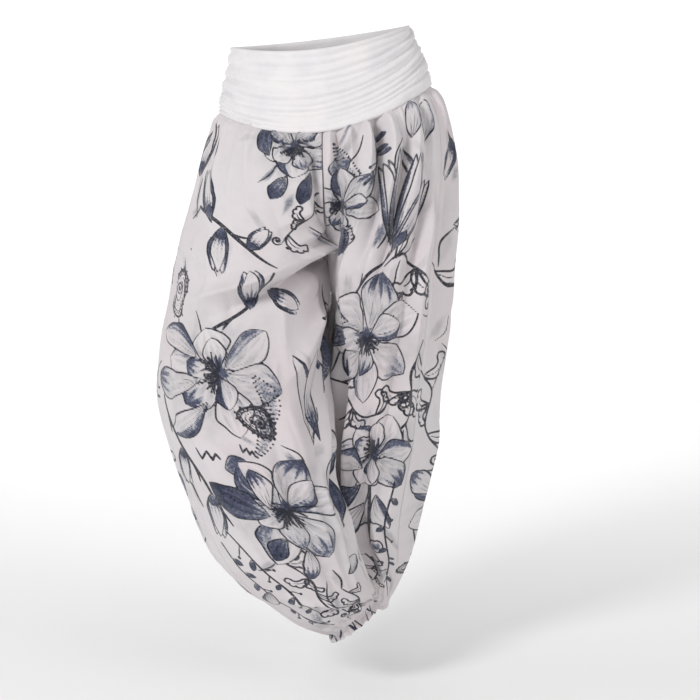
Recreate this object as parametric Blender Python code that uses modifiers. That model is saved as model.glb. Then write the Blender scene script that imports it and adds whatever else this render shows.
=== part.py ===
"""Harem pants, held up at the waist with the legs crossed at the ankles.

Two balloon legs, each of a front and a back panel, are gathered into a wide ruched jersey band at
the waist and into an elastic cuff at each ankle. The wearer's right leg (at -X) crosses in front of
the left leg (at +X). The origin is the centre of the waist opening at the band's mid-height, the
front faces -Y, and everything is in metres.
"""

import math
from collections import namedtuple

import bmesh
import bpy
import numpy as np

COLLECTION = "harem_pants"

# Cloth
WALL = 0.0014  # leg cloth with its gathers pressed flat
BAND_WALL = 0.0020  # doubled jersey
CUFF_WALL = 0.0020  # folded hem over its elastic
SEAM = 0.0003  # gap between pieces that are sewn together
EDGE = 0.00050  # from a seam's line to the face of each piece, so that the inner faces keep the gap

# Waist and ankles
ROLL = math.radians(7.0)  # the hips tip up at the wearer's left
CUFF_HEIGHT = 0.014
CUFF_FLARE = 1.10  # the frilled edge over the elastic

# Mesh fineness
PANEL_COLUMNS = 15
PANEL_ROWS = 32
SEAM_CROWDING = 0.45  # closer columns at the side and inner seams
CUFF_CROWDING = 0.35  # closer rows where the cloth turns in to the cuff
BAND_COLUMNS = 20
BAND_ROWS = 4
CUFF_COLUMNS = 20
CUFF_ROWS = 2

# The hips, from the waist seam down to the crotch. down: distance along the cloth from the waist
# seam. rise_x, rise_z: where the ring meets the rise seam. right, left: reach to the wearer's right
# and left. y, deep: middle and half of the depth. lean: tip of the ring, in degrees. dip: how far
# the front centre hangs below the sides. shut: 0 for one ring round both legs, 1 for a closed leg.
Hips = namedtuple("Hips", "down rise_x rise_z right left y deep lean dip shut")
HIPS = (
    Hips(0.000, 0.000, -0.012, 0.159, 0.165, 0.006, 0.112, 7.0, 0.047, 0.00),
    Hips(0.036, 0.000, -0.047, 0.177, 0.189, 0.007, 0.131, 7.0, 0.042, 0.04),
    Hips(0.090, 0.001, -0.100, 0.196, 0.203, 0.006, 0.148, 6.2, 0.030, 0.14),
    Hips(0.162, 0.003, -0.172, 0.215, 0.209, 0.002, 0.153, 5.0, 0.016, 0.36),
    Hips(0.218, 0.005, -0.226, 0.229, 0.211, -0.003, 0.150, 3.5, 0.006, 0.64),
    Hips(0.276, 0.007, -0.282, 0.239, 0.208, -0.008, 0.146, 2.0, 0.000, 1.00),
)

# The legs, from the crotch down to the cuff seam. inner_x, y, inner_z: where the ring meets the
# inner leg seam. wide: across the ring from there to its outer edge. deep: half of its depth.
Leg = namedtuple("Leg", "down inner_x y inner_z wide deep lean")
RIGHT_LEG = (
    Leg(0.333, 0.003, -0.016, -0.339, 0.249, 0.142, 0.0),
    Leg(0.405, 0.012, -0.028, -0.410, 0.272, 0.138, 0.0),
    Leg(0.487, 0.015, -0.040, -0.491, 0.281, 0.134, 0.0),
    Leg(0.560, 0.022, -0.050, -0.563, 0.271, 0.130, 0.0),
    Leg(0.627, 0.025, -0.060, -0.627, 0.252, 0.126, 0.0),
    Leg(0.690, 0.049, -0.068, -0.683, 0.250, 0.120, 1.5),
    Leg(0.742, 0.059, -0.074, -0.731, 0.233, 0.113, 3.0),
    Leg(0.780, 0.068, -0.076, -0.758, 0.216, 0.105, 3.7),
    Leg(0.810, 0.074, -0.077, -0.777, 0.200, 0.097, 4.9),
    Leg(0.838, 0.078, -0.077, -0.790, 0.178, 0.087, 6.8),
    Leg(0.868, 0.080, -0.076, -0.800, 0.153, 0.075, 13.0),
    Leg(0.903, 0.079, -0.074, -0.806, 0.123, 0.059, 24.0),
    Leg(0.945, 0.074, -0.072, -0.809, 0.094, 0.042, 38.0),
    Leg(0.953, 0.079, -0.072, -0.815, 0.092, 0.041, 38.0),
)
LEFT_LEG = (
    Leg(0.333, 0.003, 0.002, -0.339, 0.205, 0.142, 0.0),
    Leg(0.405, -0.004, 0.014, -0.410, 0.207, 0.143, 0.0),
    Leg(0.487, -0.012, 0.027, -0.491, 0.205, 0.142, 0.0),
    Leg(0.560, -0.018, 0.040, -0.563, 0.207, 0.137, 0.0),
    Leg(0.627, -0.022, 0.050, -0.627, 0.201, 0.129, 0.0),
    Leg(0.690, -0.020, 0.057, -0.690, 0.187, 0.118, -1.0),
    Leg(0.742, -0.002, 0.060, -0.733, 0.158, 0.106, -4.1),
    Leg(0.780, 0.014, 0.060, -0.747, 0.135, 0.096, -11.1),
    Leg(0.815, 0.029, 0.059, -0.757, 0.114, 0.085, -21.4),
    Leg(0.850, 0.041, 0.057, -0.763, 0.103, 0.072, -35.5),
    Leg(0.890, 0.051, 0.055, -0.768, 0.100, 0.056, -51.5),
    Leg(0.935, 0.059, 0.053, -0.772, 0.100, 0.042, -69.0),
    Leg(0.943, 0.052, 0.053, -0.775, 0.097, 0.041, -69.0),
)

# How far the side seam sits round towards the front, in degrees of turn about the leg.
Twist = namedtuple("Twist", "down right left")
TWIST = (
    Twist(0.000, 0.0, 38.0),
    Twist(0.200, 4.0, 52.0),
    Twist(0.500, 22.0, 56.0),
    Twist(0.800, 40.0, 50.0),
    Twist(0.945, 30.0, 20.0),
)

# The plane that keeps the crossed legs apart: its turn from straight ahead in degrees, and where
# it crosses y = 0. It fades in below the crotch.
Parting = namedtuple("Parting", "z turn x")
PARTING = (
    Parting(-0.900, 76.0, 0.000),
    Parting(-0.820, 70.0, 0.003),
    Parting(-0.760, 53.0, 0.014),
    Parting(-0.690, 40.0, 0.003),
    Parting(-0.627, 35.0, -0.004),
    Parting(-0.563, 31.0, -0.004),
    Parting(-0.491, 27.0, -0.003),
    Parting(-0.410, 21.0, 0.000),
    Parting(-0.340, 12.0, 0.004),
    Parting(-0.282, 0.0, 0.007),
    Parting(0.000, 0.0, 0.007),
)
PARTING_TOP = -0.275
PARTING_FADE = 0.070
PARTING_AIR = 0.0020  # on each side of the plane
PARTING_ROUND = 0.012  # how softly the cloth turns along the plane

# The largest folds of each leg. turn and down give both ends: turn 0 is the side seam, 1 the inner
# seam round the front and -1 the inner seam round the back. lift is above or below the cloth.
Fold = namedtuple("Fold", "turn down turn_end down_end bend width lift")
RIGHT_FOLDS = (
    Fold(1.00, 0.226, 0.14, 0.350, -0.004, 0.034, 0.014),
    Fold(1.00, 0.285, 0.24, 0.408, -0.006, 0.034, -0.014),
    Fold(0.90, 0.300, 0.76, 0.680, 0.012, 0.034, -0.022),
    Fold(0.62, 0.420, 0.64, 0.900, 0.004, 0.026, 0.009),
    Fold(0.30, 0.360, 0.42, 0.880, 0.016, 0.030, -0.009),
    Fold(-0.55, 0.050, -0.60, 0.450, 0.012, 0.030, -0.010),
    Fold(-0.30, 0.300, -0.50, 0.860, 0.014, 0.034, 0.010),
    Fold(-1.00, 0.300, -0.40, 0.460, 0.012, 0.030, -0.016),
)
LEFT_FOLDS = (
    Fold(0.36, 0.010, 0.40, 0.420, 0.006, 0.018, -0.016),
    Fold(0.56, 0.020, 0.58, 0.640, 0.006, 0.024, 0.010),
    Fold(0.12, 0.060, 0.22, 0.860, 0.010, 0.026, -0.012),
    Fold(0.68, 0.360, 0.50, 0.880, 0.008, 0.022, -0.011),
    Fold(-0.30, 0.040, -0.26, 0.600, 0.012, 0.028, -0.011),
    Fold(-0.55, 0.200, -0.50, 0.840, 0.010, 0.030, 0.011),
    Fold(-1.00, 0.300, -0.50, 0.460, 0.012, 0.030, -0.016),
)
FOLD_REACH = 0.42  # half a leg's girth, which turns a fold's ends into metres

# The waistband, from its lower edge up to its top: height at the sides, dip of the front centre and
# of the back centre, reach to each side, middle and half of the depth.
Band = namedtuple("Band", "z dip back_dip right left x y deep")
BAND = (
    Band(-0.016, 0.047, 0.020, 0.166, 0.172, 0.000, 0.006, 0.119),
    Band(0.014, 0.039, 0.016, 0.161, 0.167, -0.001, 0.006, 0.115),
    Band(0.048, 0.031, 0.012, 0.151, 0.155, -0.002, 0.005, 0.108),
    Band(0.084, 0.020, 0.004, 0.142, 0.142, -0.004, 0.004, 0.101),
)

RIGHT, LEFT = -1, 1
LOOKS = {
    "jersey": ((0.86, 0.86, 0.87), 0.80),
    "viscose": ((0.80, 0.79, 0.80), 0.75),
    "cuff": ((0.78, 0.78, 0.80), 0.78),
}


def smooth(knots, values, at):
    """Reads a smooth curve through the knots."""
    knots = np.asarray(knots, float)
    values = np.asarray(values, float)
    slopes = np.gradient(values, knots)
    at = np.clip(at, knots[0], knots[-1])
    i = np.clip(np.searchsorted(knots, at, side="right") - 1, 0, len(knots) - 2)
    step = knots[i + 1] - knots[i]
    t = (at - knots[i]) / step
    start = (1 + 2 * t) * (1 - t) ** 2 * values[i] + t * (1 - t) ** 2 * step * slopes[i]
    end = t * t * (3 - 2 * t) * values[i + 1] + t * t * (t - 1) * step * slopes[i + 1]
    return start + end


def ramp(x):
    """A soft step from 0 to 1."""
    x = np.clip(x, 0, 1)
    return x * x * (3 - 2 * x)


def leg_rings(side):
    """Every ring of one leg, hips first, as columns by name."""
    rows = []
    for hips in HIPS:
        reach = hips.right + hips.rise_x if side == RIGHT else hips.left - hips.rise_x
        rows.append(
            (hips.down, hips.rise_x, hips.y, hips.rise_z, reach, hips.deep, hips.lean, hips.dip, hips.shut)
        )
    for leg in RIGHT_LEG if side == RIGHT else LEFT_LEG:
        rows.append((*leg, 0.0, 1.0))
    names = (*Leg._fields, "dip", "shut")
    return dict(zip(names, np.array(rows).T))


def kept_apart(points, side):
    """Presses the legs flat where they would meet behind one another."""
    x, y, z = points
    heights = [row.z for row in PARTING]
    turn = np.radians(smooth(heights, [row.turn for row in PARTING], z))
    across = smooth(heights, [row.x for row in PARTING], z)
    ahead = (x - across) * np.cos(turn) + y * np.sin(turn)
    beyond = (ahead * -side + PARTING_AIR) / PARTING_ROUND
    pressed = -PARTING_ROUND * np.logaddexp(0, -beyond)
    shift = (pressed - PARTING_ROUND * beyond) * -side * ramp((PARTING_TOP - z) / PARTING_FADE)
    return np.array((x + shift * np.cos(turn), y + shift * np.sin(turn), z))


def leg_form(side, turn, down):
    """The leg's form without folds. turn runs round it, from the side seam to the inner seam."""
    rings = leg_rings(side)
    ring = {name: smooth(rings["down"], rings[name], down) for name in rings}
    ring["shut"] = np.clip(ring["shut"], 0, 1)
    names = "right" if side == RIGHT else "left"
    twist = np.radians(smooth([row.down for row in TWIST], [getattr(row, names) for row in TWIST], down))
    angle = np.where(turn > 0, twist + (math.pi - twist) * turn, twist + (math.pi + twist) * turn)
    half = ring["wide"] / 2
    out = (1 - ring["shut"]) * ring["wide"] * np.cos(angle / 2) + ring["shut"] * half * (1 + np.cos(angle))
    forward = (1 - ring["shut"]) * np.sin(angle / 2) + ring["shut"] * np.sin(angle)
    drop = ring["dip"] * np.sin(angle / 2) ** 2 * np.where(angle > 0, 1.0, 0.42)
    lean = np.radians(ring["lean"])
    out = out + EDGE
    x = ring["inner_x"] + side * out * np.cos(lean)
    z = ring["inner_z"] + side * out * np.sin(lean) - drop
    return kept_apart((x, ring["y"] - ring["deep"] * forward, z), side)


def fold_lift(folds, turn, down):
    """How far the folds lift the cloth off the leg's form."""
    lift = np.zeros_like(turn)
    for fold in folds:
        run = np.array(((fold.turn_end - fold.turn) * FOLD_REACH, fold.down_end - fold.down))
        length = np.hypot(*run)
        run = run / length
        s = (turn - fold.turn) * FOLD_REACH
        d = down - fold.down
        along = (s * run[0] + d * run[1]) / length
        aside = s * run[1] - d * run[0] - fold.bend * np.sin(math.pi * np.clip(along, 0, 1))
        ends = ramp(along / 0.25) * ramp((1 - along) / 0.25)
        lift += fold.lift * ends * np.exp(-((aside / fold.width) ** 2))
    return lift


def leg_cloth(side, turn, down):
    """The leg's outer face, with its largest folds."""
    step = 0.004
    across = leg_form(side, turn + step, down) - leg_form(side, turn - step, down)
    along = leg_form(side, turn, down + step) - leg_form(side, turn, down - step)
    out = np.cross(across.T, along.T) * side
    out /= np.linalg.norm(out, axis=1)[:, None]
    lift = fold_lift(RIGHT_FOLDS if side == RIGHT else LEFT_FOLDS, turn, down)
    fade = ramp((1 - np.abs(turn)) / 0.10) * ramp(np.abs(turn) / 0.04) * ramp(down / 0.02)
    return leg_form(side, turn, down).T + out * (lift * fade)[:, None]


def band_cloth(angle, rise):
    """The band's outer face: angle runs from the wearer's left side round the front."""
    steps = np.linspace(0, 1, len(BAND))
    row = {name: smooth(steps, [getattr(band, name) for band in BAND], rise) for name in Band._fields}
    reach = np.where(np.cos(angle) > 0, row["left"], row["right"])
    x = row["x"] + reach * np.cos(angle)
    y = row["y"] - row["deep"] * np.sin(angle)
    drop = np.where(np.sin(angle) > 0, row["dip"], row["back_dip"]) * np.sin(angle) ** 2
    z = row["z"] - drop
    return np.array((x, y, z + x * math.tan(ROLL))).T


def cuff_cloth(side, turn, along):
    """The elastic cuff, a ring that carries on from the leg's end."""
    rings = leg_rings(side)
    end = {name: values[-1] for name, values in rings.items()}
    lean = math.radians(end["lean"])
    middle = end["wide"] / 2
    angle = math.pi * turn
    flare = 1 + (CUFF_FLARE - 1) * along**2
    out = middle + middle * np.cos(angle) * flare
    away = SEAM + CUFF_HEIGHT * along
    x = end["inner_x"] + side * out * math.cos(lean) + away * math.sin(lean)
    z = end["inner_z"] + side * out * math.sin(lean) - away * math.cos(lean)
    y = end["y"] - end["deep"] * np.sin(angle) * flare
    return kept_apart((x, y, z), side).T


def material(name):
    colour, roughness = LOOKS[name]
    made = bpy.data.materials.new(name)
    made.use_nodes = True
    shader = made.node_tree.nodes["Principled BSDF"]
    shader.inputs["Base Color"].default_value = (*colour, 1)
    shader.inputs["Roughness"].default_value = roughness
    shader.inputs["Metallic"].default_value = 0
    return made


def wall(name, points, wall_thickness, look, ring=False, flip=False):
    """A cloth wall: a grid of points, rows by columns, given its thickness inwards."""
    rows, columns = points.shape[:2]
    shell = bmesh.new()
    grid = [[shell.verts.new(point) for point in row] for row in points]
    for i in range(rows - 1):
        for j in range(columns if ring else columns - 1):
            k = (j + 1) % columns
            corners = [grid[i][j], grid[i][k], grid[i + 1][k], grid[i + 1][j]]
            shell.faces.new(corners[::-1] if flip else corners)
    mesh = bpy.data.meshes.new(name)
    shell.to_mesh(mesh)
    shell.free()
    mesh.shade_smooth()
    piece = bpy.data.objects.new(name, mesh)
    piece.data.materials.append(material(look))
    bpy.data.collections[COLLECTION].objects.link(piece)
    thickness = piece.modifiers.new("cloth", "SOLIDIFY")
    thickness.thickness = wall_thickness
    thickness.offset = -1
    return piece


def leg_panel(name, side, first, last):
    """One panel of a leg, between the turns of its two seams."""
    rings = leg_rings(side)
    steps = np.linspace(0, 1, PANEL_ROWS + 1)
    downs = rings["down"][-1] * (steps + CUFF_CROWDING * (np.sin(math.pi / 2 * steps) - steps))
    half_girth = math.pi / 2 * smooth(rings["down"], rings["wide"] / 2 + rings["deep"], downs)
    shares = np.linspace(0, 1, PANEL_COLUMNS + 1)
    shares -= SEAM_CROWDING * np.sin(2 * math.pi * shares) / (2 * math.pi)
    share, down = np.meshgrid(shares, downs)
    edge = (EDGE / half_girth)[:, None]
    turn = first + edge + share * (last - first - 2 * edge)
    points = leg_cloth(side, turn.ravel(), down.ravel()).reshape(*turn.shape, 3)
    wall(name, points, WALL, "viscose", flip=side == RIGHT)


def waistband(name, first, last):
    edge = EDGE / BAND[-1].deep
    angles = np.linspace(first + edge, last - edge, BAND_COLUMNS + 1)
    angle, rise = np.meshgrid(angles, np.linspace(0, 1, BAND_ROWS + 1))
    points = band_cloth(angle.ravel(), rise.ravel()).reshape(*angle.shape, 3)
    wall(name, points, BAND_WALL, "jersey", flip=True)


def cuff(name, side):
    turns = np.linspace(-1, 1, CUFF_COLUMNS, endpoint=False)
    turn, along = np.meshgrid(turns, np.linspace(0, 1, CUFF_ROWS + 1))
    points = cuff_cloth(side, turn.ravel(), along.ravel()).reshape(*turn.shape, 3)
    wall(name, points, CUFF_WALL, "cuff", ring=True, flip=side == RIGHT)


def main():
    for thing in list(bpy.data.objects):
        bpy.data.objects.remove(thing)
    bpy.context.scene.collection.children.link(bpy.data.collections.new(COLLECTION))
    leg_panel("leg_right_front", RIGHT, 0, 1)
    leg_panel("leg_right_back", RIGHT, -1, 0)
    leg_panel("leg_left_front", LEFT, 0, 1)
    leg_panel("leg_left_back", LEFT, -1, 0)
    waistband("waistband_front", 0, math.pi)
    waistband("waistband_back", math.pi, 2 * math.pi)
    cuff("cuff_right", RIGHT)
    cuff("cuff_left", LEFT)


main()
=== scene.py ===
"""Harem pants, held up at the waist with the legs crossed at the ankles.

Four printed viscose leg panels, a ruched jersey waistband in two halves and two gathered cuffs
stand on the forms of their CAD nodes. Everything is in metres, front towards -Y.
"""

import math
from collections import namedtuple

import bmesh
import bpy
import mathutils
import numpy as np
from bpy.props import FloatProperty, FloatVectorProperty, PointerProperty
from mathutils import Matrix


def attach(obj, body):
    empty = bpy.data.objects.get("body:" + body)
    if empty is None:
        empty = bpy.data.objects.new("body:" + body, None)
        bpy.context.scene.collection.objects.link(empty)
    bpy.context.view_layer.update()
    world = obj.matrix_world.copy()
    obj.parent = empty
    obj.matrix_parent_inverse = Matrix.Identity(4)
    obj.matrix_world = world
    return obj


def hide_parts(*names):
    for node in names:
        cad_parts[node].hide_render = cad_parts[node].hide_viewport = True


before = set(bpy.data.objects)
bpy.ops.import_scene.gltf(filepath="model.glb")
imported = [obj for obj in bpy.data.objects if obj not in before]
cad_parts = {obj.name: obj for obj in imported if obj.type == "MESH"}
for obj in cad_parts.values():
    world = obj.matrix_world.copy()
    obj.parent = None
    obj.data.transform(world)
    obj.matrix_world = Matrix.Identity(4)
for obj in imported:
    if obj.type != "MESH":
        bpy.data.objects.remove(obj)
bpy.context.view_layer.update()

bl_info = {
    "name": "Harem Pants",
    "version": (1, 0, 0),
    "blender": (4, 5, 0),
    "location": "View3D > Sidebar > Harem Pants",
    "description": "Printed balloon-leg pants with a ruched waistband and gathered cuffs",
    "category": "Object",
}

BODY = "root"

# Stage: the floor runs back to a rounded cove and up into a backdrop
FLOOR = -0.965
FLOOR_REACH = 9.0
COVE_START = 2.6
COVE_RADIUS = 1.6
BACKDROP_TOP = 6.0
CAMERA = (0.030, -2.930, 0.050)
CAMERA_AIM = (0.043, 0.000, -0.4192)
LENS = 94.0
WORLD_LIGHT = 0.53
Lamp = namedtuple("Lamp", "name place aim size energy")
LAMPS = (
    Lamp("key", (-2.3, -2.7, 1.6), (0.0, 0.0, -0.40), 1.0, 70.0),
    Lamp("fill", (2.6, -2.2, 0.7), (0.0, 0.0, -0.40), 1.6, 24.0),
    Lamp("backdrop", (0.0, 1.0, 2.6), (0.0, 4.2, 1.7), 2.4, 90.0),
)

# Waist and ankles
ROLL = math.radians(7.0)
SEAM = 0.0003
EDGE = 0.0005
CUFF_HEIGHT = 0.014
CUFF_FLARE = 1.10
WAIST_FULLNESS = 0.20  # how much more cloth a leg has where it is gathered into the waist
ANKLE_FULLNESS = 0.35  # and where it is gathered into the ankle
BAND_PLEAT = 0.0045  # half the pitch of the pleats where the band is ruched into a side seam
CUFF_PLEATS, CUFF_FINE_PLEATS, CUFF_FRILLS = 27, 41, 19  # round each ankle
CUFF_MARKS = 26  # strokes of the print that reach the hem
BAND_CLOTH = 0.0014  # thickness of the doubled jersey
CUFF_CLOTH = 0.0012  # thickness of the gathered hem

# Mesh fineness: the lining side of a panel has one point for every INNER_STEP on its face
PANEL_COLUMNS = 192
PANEL_ROWS = 424
BAND_COLUMNS = 360
BAND_ROWS = 96
CUFF_COLUMNS = 480
CUFF_ROWS = 24
INNER_STEP = 4

# The hips, from the waist seam down to the crotch, as in the CAD part.
Hips = namedtuple("Hips", "down rise_x rise_z right left y deep lean dip shut")
HIPS = (
    Hips(0.000, 0.000, -0.012, 0.159, 0.165, 0.006, 0.112, 7.0, 0.047, 0.00),
    Hips(0.036, 0.000, -0.047, 0.177, 0.189, 0.007, 0.131, 7.0, 0.042, 0.04),
    Hips(0.090, 0.001, -0.100, 0.196, 0.203, 0.006, 0.148, 6.2, 0.030, 0.14),
    Hips(0.162, 0.003, -0.172, 0.215, 0.209, 0.002, 0.153, 5.0, 0.016, 0.36),
    Hips(0.218, 0.005, -0.226, 0.229, 0.211, -0.003, 0.150, 3.5, 0.006, 0.64),
    Hips(0.276, 0.007, -0.282, 0.239, 0.208, -0.008, 0.146, 2.0, 0.000, 1.00),
)
Leg = namedtuple("Leg", "down inner_x y inner_z wide deep lean")
RIGHT_LEG = (
    Leg(0.333, 0.003, -0.016, -0.339, 0.249, 0.142, 0.0),
    Leg(0.405, 0.012, -0.028, -0.410, 0.272, 0.138, 0.0),
    Leg(0.487, 0.015, -0.040, -0.491, 0.281, 0.134, 0.0),
    Leg(0.560, 0.022, -0.050, -0.563, 0.271, 0.130, 0.0),
    Leg(0.627, 0.025, -0.060, -0.627, 0.252, 0.126, 0.0),
    Leg(0.690, 0.049, -0.068, -0.683, 0.250, 0.120, 1.5),
    Leg(0.742, 0.059, -0.074, -0.731, 0.233, 0.113, 3.0),
    Leg(0.780, 0.068, -0.076, -0.758, 0.216, 0.105, 3.7),
    Leg(0.810, 0.074, -0.077, -0.777, 0.200, 0.097, 4.9),
    Leg(0.838, 0.078, -0.077, -0.790, 0.178, 0.087, 6.8),
    Leg(0.868, 0.080, -0.076, -0.800, 0.153, 0.075, 13.0),
    Leg(0.903, 0.079, -0.074, -0.806, 0.123, 0.059, 24.0),
    Leg(0.945, 0.074, -0.072, -0.809, 0.094, 0.042, 38.0),
    Leg(0.953, 0.079, -0.072, -0.815, 0.092, 0.041, 38.0),
)
LEFT_LEG = (
    Leg(0.333, 0.003, 0.002, -0.339, 0.205, 0.142, 0.0),
    Leg(0.405, -0.004, 0.014, -0.410, 0.207, 0.143, 0.0),
    Leg(0.487, -0.012, 0.027, -0.491, 0.205, 0.142, 0.0),
    Leg(0.560, -0.018, 0.040, -0.563, 0.207, 0.137, 0.0),
    Leg(0.627, -0.022, 0.050, -0.627, 0.201, 0.129, 0.0),
    Leg(0.690, -0.020, 0.057, -0.690, 0.187, 0.118, -1.0),
    Leg(0.742, -0.002, 0.060, -0.733, 0.158, 0.106, -4.1),
    Leg(0.780, 0.014, 0.060, -0.747, 0.135, 0.096, -11.1),
    Leg(0.815, 0.029, 0.059, -0.757, 0.114, 0.085, -21.4),
    Leg(0.850, 0.041, 0.057, -0.763, 0.103, 0.072, -35.5),
    Leg(0.890, 0.051, 0.055, -0.768, 0.100, 0.056, -51.5),
    Leg(0.935, 0.059, 0.053, -0.772, 0.100, 0.042, -69.0),
    Leg(0.943, 0.052, 0.053, -0.775, 0.097, 0.041, -69.0),
)
Twist = namedtuple("Twist", "down right left")
TWIST = (
    Twist(0.000, 0.0, 38.0),
    Twist(0.200, 4.0, 52.0),
    Twist(0.500, 22.0, 56.0),
    Twist(0.800, 40.0, 50.0),
    Twist(0.945, 30.0, 20.0),
)
Parting = namedtuple("Parting", "z turn x")
PARTING = (
    Parting(-0.900, 76.0, 0.000),
    Parting(-0.820, 70.0, 0.003),
    Parting(-0.760, 53.0, 0.014),
    Parting(-0.690, 40.0, 0.003),
    Parting(-0.627, 35.0, -0.004),
    Parting(-0.563, 31.0, -0.004),
    Parting(-0.491, 27.0, -0.003),
    Parting(-0.410, 21.0, 0.000),
    Parting(-0.340, 12.0, 0.004),
    Parting(-0.282, 0.0, 0.007),
    Parting(0.000, 0.0, 0.007),
)
PARTING_TOP = -0.275
PARTING_FADE = 0.070
PARTING_AIR = 0.0020
PARTING_ROUND = 0.012
Band = namedtuple("Band", "z dip back_dip right left x y deep")
BAND = (
    Band(-0.016, 0.047, 0.020, 0.166, 0.172, 0.000, 0.006, 0.119),
    Band(0.014, 0.039, 0.016, 0.161, 0.167, -0.001, 0.006, 0.115),
    Band(0.048, 0.031, 0.012, 0.151, 0.155, -0.002, 0.005, 0.108),
    Band(0.084, 0.020, 0.004, 0.142, 0.142, -0.004, 0.004, 0.101),
)
RIGHT, LEFT = -1, 1
PANEL_SEED, CREASE_SEED, CUFF_SEED, SMUDGE_SEED = 20, 60, 90, 200
LEG_NAMES = {RIGHT: "right", LEFT: "left"}

# Creases. turn and down give both ends (turn 0 is the side seam, 1 the inner seam round the front and
# -1 the inner seam round the back), bend bows the line between them, and width and lift run from the
# first end to the second. A crease that starts on the waist or cuff seam starts at full height.
Crease = namedtuple("Crease", "turn down turn_end down_end bend width width_end lift lift_end")
RIGHT_CREASES = (
    # the drag fold across the thigh, its hollow and the lesser folds above it
    Crease(1.00, 0.222, 0.04, 0.344, -0.006, 0.012, 0.015, 0.020, 0.009),
    Crease(1.00, 0.252, 0.22, 0.356, -0.008, 0.010, 0.016, -0.024, -0.008),
    Crease(1.00, 0.190, 0.46, 0.268, -0.004, 0.009, 0.018, 0.007, 0.002),
    Crease(1.00, 0.205, 0.50, 0.292, -0.004, 0.007, 0.012, -0.006, -0.002),
    Crease(0.96, 0.150, 0.60, 0.206, -0.004, 0.009, 0.016, 0.005, 0.001),
    # strain folds that fan down from the crotch
    Crease(1.00, 0.286, 0.44, 0.500, 0.010, 0.010, 0.024, 0.010, 0.003),
    Crease(1.00, 0.315, 0.60, 0.560, 0.012, 0.010, 0.022, -0.012, -0.003),
    Crease(0.96, 0.345, 0.70, 0.690, 0.014, 0.009, 0.018, 0.009, 0.003),
    Crease(0.92, 0.380, 0.78, 0.790, 0.010, 0.010, 0.014, -0.010, -0.003),
    Crease(0.95, 0.420, 0.86, 0.800, 0.006, 0.007, 0.012, 0.007, 0.002),
    # long hanging folds down the front
    Crease(0.62, 0.420, 0.64, 0.930, 0.006, 0.016, 0.010, 0.008, 0.003),
    Crease(0.54, 0.500, 0.58, 0.930, 0.004, 0.010, 0.008, -0.006, -0.002),
    Crease(0.30, 0.360, 0.42, 0.900, 0.016, 0.024, 0.012, -0.008, -0.003),
    Crease(0.40, 0.560, 0.50, 0.930, 0.008, 0.012, 0.008, 0.006, 0.003),
    Crease(0.14, 0.420, 0.30, 0.900, 0.014, 0.020, 0.010, 0.006, 0.002),
    Crease(0.20, 0.620, 0.34, 0.930, 0.008, 0.010, 0.007, -0.005, -0.002),
    Crease(0.76, 0.560, 0.74, 0.900, -0.006, 0.010, 0.008, 0.007, 0.003),
    # folds over the hip
    Crease(0.30, 0.000, 0.34, 0.250, 0.004, 0.006, 0.018, 0.004, 0.001),
    Crease(0.52, 0.000, 0.58, 0.200, 0.004, 0.006, 0.014, 0.005, 0.001),
    Crease(0.70, 0.000, 0.80, 0.230, 0.002, 0.006, 0.012, 0.006, 0.001),
    Crease(0.86, 0.000, 0.93, 0.210, 0.002, 0.007, 0.010, 0.007, 0.003),
    Crease(0.94, 0.020, 0.98, 0.230, 0.001, 0.006, 0.010, -0.011, -0.009),
    Crease(0.12, 0.000, 0.10, 0.300, 0.006, 0.007, 0.020, 0.004, 0.001),
    # the cloth sags over the cuff
    Crease(0.20, 0.800, 0.74, 0.850, -0.010, 0.012, 0.010, 0.005, 0.003),
    Crease(0.28, 0.850, 0.86, 0.876, -0.008, 0.008, 0.008, -0.004, -0.003),
    # back
    Crease(-0.55, 0.050, -0.60, 0.450, 0.012, 0.024, 0.026, -0.008, -0.004),
    Crease(-0.30, 0.300, -0.50, 0.860, 0.014, 0.028, 0.018, 0.010, 0.004),
    Crease(-1.00, 0.300, -0.40, 0.460, 0.012, 0.018, 0.028, -0.014, -0.004),
    Crease(-1.00, 0.250, -0.30, 0.360, 0.010, 0.016, 0.030, 0.012, 0.003),
    Crease(-0.80, 0.340, -0.62, 0.760, 0.012, 0.012, 0.018, 0.009, 0.003),
    Crease(-0.70, 0.380, -0.56, 0.820, 0.010, 0.012, 0.014, -0.008, -0.003),
    Crease(-0.20, 0.100, -0.18, 0.560, 0.010, 0.018, 0.024, 0.005, 0.003),
    Crease(-0.40, 0.000, -0.42, 0.340, 0.004, 0.007, 0.018, 0.005, 0.001),
    Crease(-0.12, 0.460, -0.20, 0.920, 0.012, 0.018, 0.009, -0.006, -0.003),
    Crease(-0.86, 0.420, -0.80, 0.920, 0.008, 0.012, 0.008, 0.007, 0.003),
    Crease(-0.90, 0.235, -0.92, 0.500, 0.000, 0.018, 0.018, 0.016, 0.012),
)
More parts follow.
